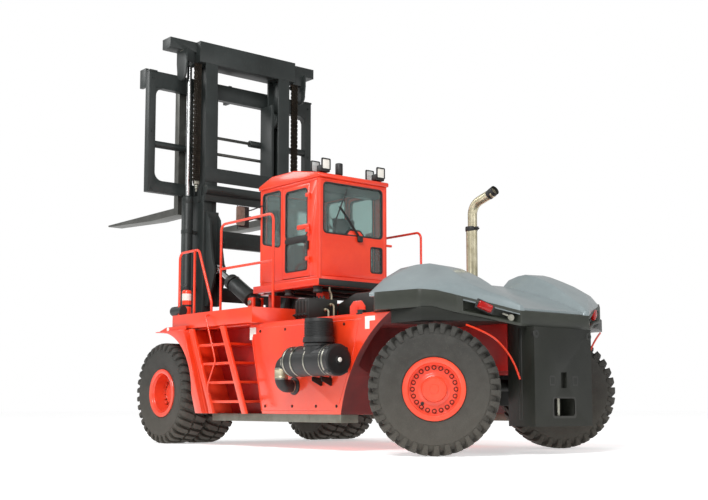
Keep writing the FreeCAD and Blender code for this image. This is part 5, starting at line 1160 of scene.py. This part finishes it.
finishPiece(endKnob, whitePaint)
duct = {"x": -1.85, "low": 0.88}
metalDuct = addTurned("ductPipe", [(0.0905, -2.11), (0.094, -2.11), (0.098, -2.10), (0.098, -2.085),
    (0.094, -2.075), (0.094, -1.99), (0.098, -1.985), (0.098, -1.972), (0.0905, -1.968)], canAxis, forwards,
    steps=40)
downPipe = addTurned("ductDrop", [(0.0905, 0.99), (0.096, 0.992), (0.098, 1.0), (0.094, 1.01), (0.094, 1.09),
    (0.098, 1.10), (0.096, 1.108), (0.0905, 1.11)], (duct["x"], cleaner["y"], 0), upwards, steps=40)
put("ductPipe", [metalDuct, downPipe], exhaustSteel)
clamps = []
ductEnd = (duct["x"], 1.80, duct["low"])
for place, axis in (((-1.955, cleaner["y"], cleaner["z"]), forwards),
        ((duct["x"], cleaner["y"], 1.122), upwards), ((duct["x"], cleaner["y"], 0.978), upwards),
        (ductEnd, sideways)):
    clamps.append(addTurned("ductClamp", [(0.0895, -0.008), (0.0935, -0.008), (0.0945, -0.005),
        (0.0945, 0.005), (0.0935, 0.008), (0.0895, 0.008)], place, axis, steps=40))
put("ductClamps", clamps, zincSteel)
flange = addTurned("ductFlange", [(0.0895, -0.05), (0.125, -0.05), (0.125, -0.04), (0.105, -0.036),
    (0.0895, -0.02)], ductEnd, steps=40)
finishPiece(flange, blackPlastic)
cradle = []
for x in (-2.70, -2.49):
    cradle.append(addPlate("cradleStrap", "YZ", rounded([(1.752, 0.98), (1.80, 0.985), (1.93, 1.0),
        (1.93, 0.94), (1.752, 0.86)], 0.02), x - 0.006, x + 0.006, 0.002))
    for y, z in ((1.7505, 0.93), (1.7505, 0.99)):
        cradle.append(addTurned("cradleBolt", [(0, 0), (0.017, 0), (0.017, 0.012), (0, 0.014)],
            (x + 0.03, y, z), steps=6, angle=20))
put("cleanerCradle", cradle, blackPaint)

# Side panels: white corner marks, pressed creases, bolts and filler caps.
panel = {"face": 1.75, "skin": 0.0016}
markOutlines = [
    [(-0.73, 1.755), (-0.89, 1.755), (-0.89, 1.655), (-0.81, 1.655), (-0.81, 1.575), (-0.73, 1.575)],
    [(-3.395, 1.765), (-3.595, 1.765), (-3.595, 1.705), (-3.485, 1.705), (-3.485, 1.60), (-3.395, 1.60)]]
marks = []
for sign in (1, -1):
    for outline in markOutlines:
        points = rounded(outline, 0.006, 2)
        marks.append(addPlate("reflector", "XZ", points, sign * (panel["face"] + 0.0002),
            sign * (panel["face"] + panel["skin"]), 0))
put("reflectorMarks", marks, whitePaint)
creaseRoutes = [(0.006, [(-0.80, 1.62), (-1.05, 0.53)]), (0.006,
    [(-3.26, 1.70), (-3.15, 1.30), (-2.85, 0.62)]), (0.005, [(-0.95, 1.735), (-3.34, 1.735)]),
    (0.005, [(-1.10, 0.535), (-2.83, 0.535)])]
creases = []
for sign in (1, -1):
    for width, route in creaseRoutes:
        points = [(x, sign * (panel["face"] + 0.0008), z) for x, z in route]
        creases.append(addTube("panelCrease", points, width, 0.03, 8))
put("panelCreases", creases, redPaint)
panelBolts = []
for sign in (1, -1):
    for x, z in ((-1.00, 1.69), (-1.62, 1.69), (-2.30, 1.69), (-2.96, 1.69), (-1.14, 0.60), (-1.80, 0.60),
            (-2.35, 0.60), (-2.80, 0.60)):
        panelBolts.append(addTurned("panelBolt", [(0, 0), (0.022, 0), (0.022, sign * 0.003),
            (0.013, sign * 0.004), (0.013, sign * 0.011), (0, sign * 0.013)], (x, sign * panel["face"], z),
            steps=12, angle=20))
put("panelBolts", panelBolts, nutSteel)
filler = []
for sign in (1, -1):
    filler.append(addTurned("fillerCap", [(0, 1.80), (0.075, 1.80), (0.075, 1.822), (0.058, 1.826),
        (0.058, 1.858), (0.05, 1.868), (0, 1.87)], (-3.22, sign * 1.66, 0), upwards, steps=10, angle=20))
put("fillerCaps", filler, blackPlastic)

# Valve block beside the cab: slices, spool caps, and two rigid pipes with their unions.
valves = []
for number in range(4):
    x = -1.475 + 0.077 * number
    for y, z, height, axis in ((0.93, 2.18, 0.012, upwards), (1.25, 1.93, 0.03, sideways)):
        valves.append(addTurned("spoolCap", [(0, 0), (0.03, 0), (0.03, height), (0.022, height + 0.014),
            (0.014, height + 0.016), (0.014, height + 0.04), (0, height + 0.042)], (x + 0.02, y, z), axis,
            steps=20))
    valves.append(addBlock("valveSlice", (x - 0.008, 0.76, 1.85), (x + 0.05, 1.262, 2.15), 0.01))
put("valveSpools", valves, blackPaint)
pipes = []
for y, z in ((0.84, 2.10), (0.94, 2.02)):
    pipes.append(addTube("valvePipe", [(-1.50, y, z), (-1.585, y, z), (-1.585, y, 1.812)], 0.014, 0.045, 12))
    pipes.append(addTurned("valveUnion", [(0, -0.002), (0.024, 0), (0.024, -0.024), (0.0145, -0.03),
        (0, -0.03)], (-1.50, y, z), forwards, steps=6, angle=20))
put("valvePipes", pipes, exhaustSteel)
print("exhaust, air cleaner, panels and valves made")

# Under the cab: black sheets over the rear face and the floor of the cab's base, which paint the shade there,
# the base's ribs, and its rubber mounts.
base = {"rear": behind(2.82), "front": behind(0.868), "half": 0.95, "low": 2.40, "top": 2.51}
# painted shade: a black sheet on the base's red rear face and a black plate under its floor
baseRear = addBlock("baseRear", (base["rear"] - 0.004, -base["half"] + 0.02, base["low"] + 0.004),
    (base["rear"] + 0.001, base["half"] - 0.02, base["top"] - 0.006), 0.0015)
baseFloor = addBlock("baseFloor", (base["rear"] + 0.01, -0.82, base["low"] - 0.012),
    (base["front"] - 0.34, 0.82, base["low"] + 0.001), 0.004)
ribs = []
for x in (-1.05, -0.55, -0.05):
    ribs.append(addBlock("baseRib", (x - 0.03, -0.80, base["low"] - 0.055),
        (x + 0.03, 0.80, base["low"] - 0.01), 0.008))
put("cabUnderside", [baseRear, baseFloor] + ribs, blackPaint)
lugs = []
for sign in (1, -1):
    for x in (base["rear"] + 0.12, base["rear"] + 0.85):
        lugs.append(addTurned("cabMount", [(0, 0), (0.07, 0), (0.075, -0.012), (0.06, -0.05), (0.075, -0.085),
            (0.07, -0.1), (0, -0.1)], (x, sign * 0.86, base["low"]), upwards, steps=32))
put("cabMounts", lugs, hoseRubber)

# Lamps on the roof: their frames and lenses.
lamp = {"rear": -1.02, "front": -0.76, "low": 4.255, "top": 4.439, "y": 0.56, "half": 0.088}
for name, sign in side.items():
    frames = []
    middle = sign * lamp["y"]
    case = rectangle(middle - lamp["half"], lamp["low"], middle + lamp["half"], lamp["top"])
    for end, out, glassPaint in (("rear", -1, whitePaint), ("front", 1, lampClear)):
        x = lamp[end]
        inner = rounded(inset(case, 0.018), 0.014)
        frames.append(addFrame("lampFrame", "YZ", rounded(case, 0.02), inner, x - out * 0.002,
            x + out * 0.016))
        lens = addPlate("lampGlass", "YZ", inner, x + out * 0.0005, x + out * 0.009, 0.002)
        put("roofLens_{}_{}".format(name, end), [lens], glassPaint)
    put("roofLampFrame_" + name, frames, blackPlastic)
print("cab underside and lamps made")

# Arch faces of the side tanks: a thin skin over those faces alone, in a dark red that is painted shade, with
# dust over it.
archFront = rearAxleX + 1.32
archShadeSkin = copied(made["side_tanks"], "archLiner")
edit(archShadeSkin)
chooseFaces(archShadeSkin, lambda middle, normal: not (middle.x < archFront and 0.6 < abs(middle.y) < 1.7495
    and 0.5 < middle.z < 1.797 and normal.z < 0.6))
bpy.ops.mesh.delete(type="FACE")
done()
applied(archShadeSkin, "SOLIDIFY", thickness=0.0015, offset=1)
finishPiece(smooth(archShadeSkin, 30), archShadePaint)
print("arch liners made")

# Fenders: welded seams on the outer flange, the plate at the tip and its round reflector.
seams = []
tips = []
dots = []
fender = {"seamFace": 1.9995, "tipFace": 1.965, "tipPlate": 0.02}
tipOutline = rounded([(1.645, 1.79), (1.36, 1.862), (0.76, 1.862), (0.76, 1.79)], 0.01, 2)
for sign in (1, -1):
    for route in ([(0.74, 1.79), (0.18, 0.50)], [(0.60, 1.79), (0.30, 1.10), (0.055, 0.50)]):
        seams.append(addTube("fenderSeam", [(x, sign * fender["seamFace"], z) for x, z in route], 0.007, 0.02,
            8))
    face = sign * fender["tipFace"]
    tips.append(addPlate("fenderTip", "XZ", tipOutline, face - sign * fender["tipPlate"], face, 0.003))
    dots.append(addTurned("fenderDot", capped(0.034, sign * 0.006, 0.03, sign * 0.009), (1.30, face, 1.826),
        steps=28, angle=30))
put("fenderSeams", seams + tips, redPaint)
put("fenderDots", dots, whitePaint)

# Ladders and running boards: grab rails beside the steps, studs and joints on the boards.
grabRails = []
for sign in (1, -1):
    route = [(0.19, 1.895, 2.00), (0.155, 1.975, 1.97), (-0.107, 1.975, 1.369), (-0.137, 1.975, 1.277),
        (0.06, 1.975, 0.93), (0.06, 1.975, 0.80), (0.06, 1.955, 0.78)]
    grabRails.append(addTube("grabRail", [(x, sign * y, z) for x, y, z in route], 0.013, 0.03, 12))
put("grabRails", grabRails, redPaint)
boards = []
board = {"rear": -2.82, "gap": 0.157, "columns": 20, "top": 0.488, "edge": 1.75}
for sign in (1, -1):
    for number in range(board["columns"]):
        for y in (1.50, 1.57, 1.64, 1.71):
            boards.append(addTurned("gripStud", [(0, 0), (0.013, 0), (0.009, 0.0055), (0, 0.0065)],
                (board["rear"] + number * board["gap"], sign * y, board["top"]), upwards, steps=8))
    for x in (-2.2, -1.3, -0.45):
        boards.append(addBlock("boardJoint", (x - 0.004, sign * (board["edge"] - 0.0015), 0.384),
            (x + 0.004, sign * (board["edge"] + 0.0015), board["top"] - 0.002), 0.0008))
put("boardGrip", boards, boardPaint)

# Platforms: tread plate lozenges, and the black tubes in front with their feet.
lozenges = []
tread = {"rear": -0.82, "inner": 1.04, "pitchX": 0.29, "pitchY": 0.095, "length": 0.068, "width": 0.014,
    "top": 2.05}
for sign in (1, -1):
    for row in range(7):
        for column in range(9):
            x = tread["rear"] + (row + (column % 2) / 2) * tread["pitchX"]
            y = sign * (tread["inner"] + column * tread["pitchY"])
            bar = addBlock("lozenge", (x - tread["length"] / 2, y - tread["width"] / 2, tread["top"] - 0.001),
                (x + tread["length"] / 2, y + tread["width"] / 2, tread["top"] + 0.0035), 0.0018, 1)
            lozenges.append(turned(bar, 45 if (row + column) % 2 else -45, upwards, (x, y, tread["top"])))
put("treadPattern", lozenges, redPaint)
frontTubes = []
tubeX, tubeY, tubeZ = 1.11, 1.80, 2.130
tubeSection = [(0, 0), (0.07, 0), (0.078, 0.008), (0.078, 0.30), (0.07, 0.308), (0, 0.308)]
for sign in (1, -1):
    frontTubes.append(addTurned("frontTube", tubeSection, (tubeX, sign * tubeY, tubeZ), forwards, steps=36))
    frontTubes.append(addBlock("frontTubeFoot", (tubeX + 0.06, sign * tubeY - 0.05, tubeZ - 0.085),
        (tubeX + 0.10, sign * tubeY + 0.05, tubeZ - 0.03), 0.008))
put("frontTubes", frontTubes, blackPlastic)

# Extinguisher: neck, levers and strap, and a plain pale band round the can.
bottleX, bottleY = 1.18, 1.70
bottleFoot = (bottleX, bottleY, 0)
band = addTurned("extinguisherBand", [(0.0751, 2.30), (0.0762, 2.301), (0.0762, 2.409), (0.0751, 2.41)],
    bottleFoot, upwards, steps=36)
finishPiece(band, whitePaint)
neck = addTurned("neck", [(0, 2.465), (0.03, 2.465), (0.03, 2.49), (0.02, 2.50), (0.02, 2.53), (0, 2.53)],
    bottleFoot, upwards, steps=24)
lever = addBlock("lever", (bottleX - 0.02, bottleY - 0.012, 2.528), (bottleX + 0.12, bottleY + 0.012, 2.544),
    0.005)
leverTop = turned(addBlock("leverTop", (bottleX - 0.02, bottleY - 0.010, 2.552),
    (bottleX + 0.11, bottleY + 0.010, 2.564), 0.005), -9, sideways, (bottleX - 0.02, bottleY, 2.556))
strap = addTurned("strap", [(0.0752, 2.20), (0.079, 2.201), (0.079, 2.229), (0.0752, 2.23)], bottleFoot,
    upwards, steps=36)
put("extinguisherHead", [neck, lever, leverTop, strap], blackPlastic)

# Mirrors: arms from the cab's front corners, and their glass.
arms = []
glasses = []
mirror = {"y": 1.10, "face": 0.5375, "stayX": 0.628}
for sign in (1, -1):
    for z in (3.60, 3.76):
        arms.append(addTube("mirrorArm", [(0.50, sign * 0.70, z + 0.12), (0.585, sign * 0.86, z + 0.04),
            (0.585, sign * 1.03, z)], 0.011, 0.04, 10))
    arms.append(addTube("mirrorStay", [(mirror["stayX"], sign * mirror["y"], z) for z in (3.47, 3.88)], 0.009,
        0, 10))
    outline = rounded(rectangle(sign * mirror["y"] - 0.085, 3.52, sign * mirror["y"] + 0.085, 3.83), 0.03)
    glasses.append(addPlate("mirrorGlass", "YZ", outline, mirror["face"], mirror["face"] + 0.0027, 0.0008, 1))
put("mirrorArms", arms, blackPlastic)
put("mirrorGlass", glasses, zincSteel)
print("fenders, ladders, platforms and mirrors made")

# Behind the cab: red stays that carry the hood's front edge, and a steel line down from the cab floor.
stays = []
stayY = 1.40
stayOutline = rounded([(-2.66, 1.80), (-2.66, 1.96), (-2.74, 2.03), (-2.90, 2.03), (-2.98, 1.95),
    (-2.98, 1.80)], 0.03)
for sign in (1, -1):
    stays.append(addPlate("hoodStay", "XZ", stayOutline, sign * (stayY - 0.01), sign * (stayY + 0.01), 0.004))
    stays.append(addTurned("stayPin", rectangle(0, -0.02, 0.03, 0.02), (-2.82, sign * stayY, 1.93), steps=20))
put("hoodStays", stays, redPaint)
line = addTube("cabLine", [(-1.30, 0.70, 2.395), (-1.30, 0.70, 2.33), (-1.30, 0.66, 2.28),
    (-1.30, 0.66, 1.98), (-1.30, 0.702, 1.98)], 0.014, 0.03, 12)
finishPiece(line, exhaustSteel)
print("stays and line made")

# plain pale floor, soft studio light and the camera
deselectAll()
bpy.ops.mesh.primitive_plane_add(size=160, location=(0, 0, -0.002))
floor = newest("studioFloor")
floor.data.transform(Matrix.Translation((0, 0, -0.002)))
floor.matrix_world = Matrix.Identity(4)
floorPaint, floorTree, floorSurface, floorPlace = newMaterial("matWhiteFloor", Roughness=0.9)
floorGrain = addNode(floorTree, "ShaderNodeTexNoise", {"Scale": perMetre(1500), "Detail": 2},
    {"Vector": floorPlace})
floorTone = addNode(floorTree, "ShaderNodeMix", {"A": linear("#FBFBFB"), "B": linear("#FFFFFF")},
    {"Factor": floorGrain.outputs["Fac"]}, data_type="RGBA")
floorTree.links.new(floorTone.outputs["Result"], floorSurface.inputs["Base Color"])
floorTree.links.new(floorTone.outputs["Result"], floorSurface.inputs["Emission Color"])
floorSurface.inputs["Emission Strength"].default_value = 0.5
floor.data.materials.append(floorPaint)
floor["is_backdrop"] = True

world = bpy.context.scene.world or bpy.data.worlds.new("studioWorld")
bpy.context.scene.world = world
world.use_nodes = True
world.node_tree.nodes["Background"].inputs["Color"].default_value = (1, 1, 1, 1)
ray = addNode(world.node_tree, "ShaderNodeLightPath", {}, {})
glow = addNode(world.node_tree, "ShaderNodeMapRange", {"To Min": 0.5, "To Max": 1.0},
    {"Value": ray.outputs["Is Camera Ray"]})
world.node_tree.links.new(glow.outputs["Result"], world.node_tree.nodes["Background"].inputs["Strength"])
bpy.context.scene.view_settings.view_transform = "Standard"

lights = {
    "keyLight": {"place": (-9, 12, 13), "aim": (-0.5, 0, 2.2), "size": 7, "power": 2300},
    "fillLight": {"place": (-18, -2, 7), "aim": (-1, 0, 2), "size": 8, "power": 450},
    "rimLight": {"place": (9, 9, 11), "aim": (1.5, 0, 4), "size": 5, "power": 600},
}
for name, light in lights.items():
    bpy.ops.object.light_add(type="AREA", location=light["place"])
    lamp = bpy.context.object
    lamp.name = name
    lamp.data.energy = light["power"]
    lamp.data.size = light["size"]
    lamp.rotation_euler = (Vector(light["aim"]) - Vector(light["place"])).to_track_quat("-Z", "Y").to_euler()

cameraLook = {"place": (-14.576, 11.094, 0.6217), "yaw": 39.32, "pitch": 6.09, "lens": 57.04, "shift": 0.0494}
bpy.ops.object.camera_add(location=cameraLook["place"])
camera = bpy.context.object
camera.name = "studioCamera"
yaw, pitch = math.radians(cameraLook["yaw"]), math.radians(cameraLook["pitch"])
gaze = Vector((math.cos(yaw) * math.cos(pitch), -math.sin(yaw) * math.cos(pitch), math.sin(pitch)))
camera.rotation_euler = gaze.to_track_quat("-Z", "Y").to_euler()
camera.data.lens = cameraLook["lens"]
camera.data.shift_y = cameraLook["shift"]
camera.data.dof.use_dof = False
bpy.context.scene.camera = camera
print("studio set")

low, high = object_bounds()
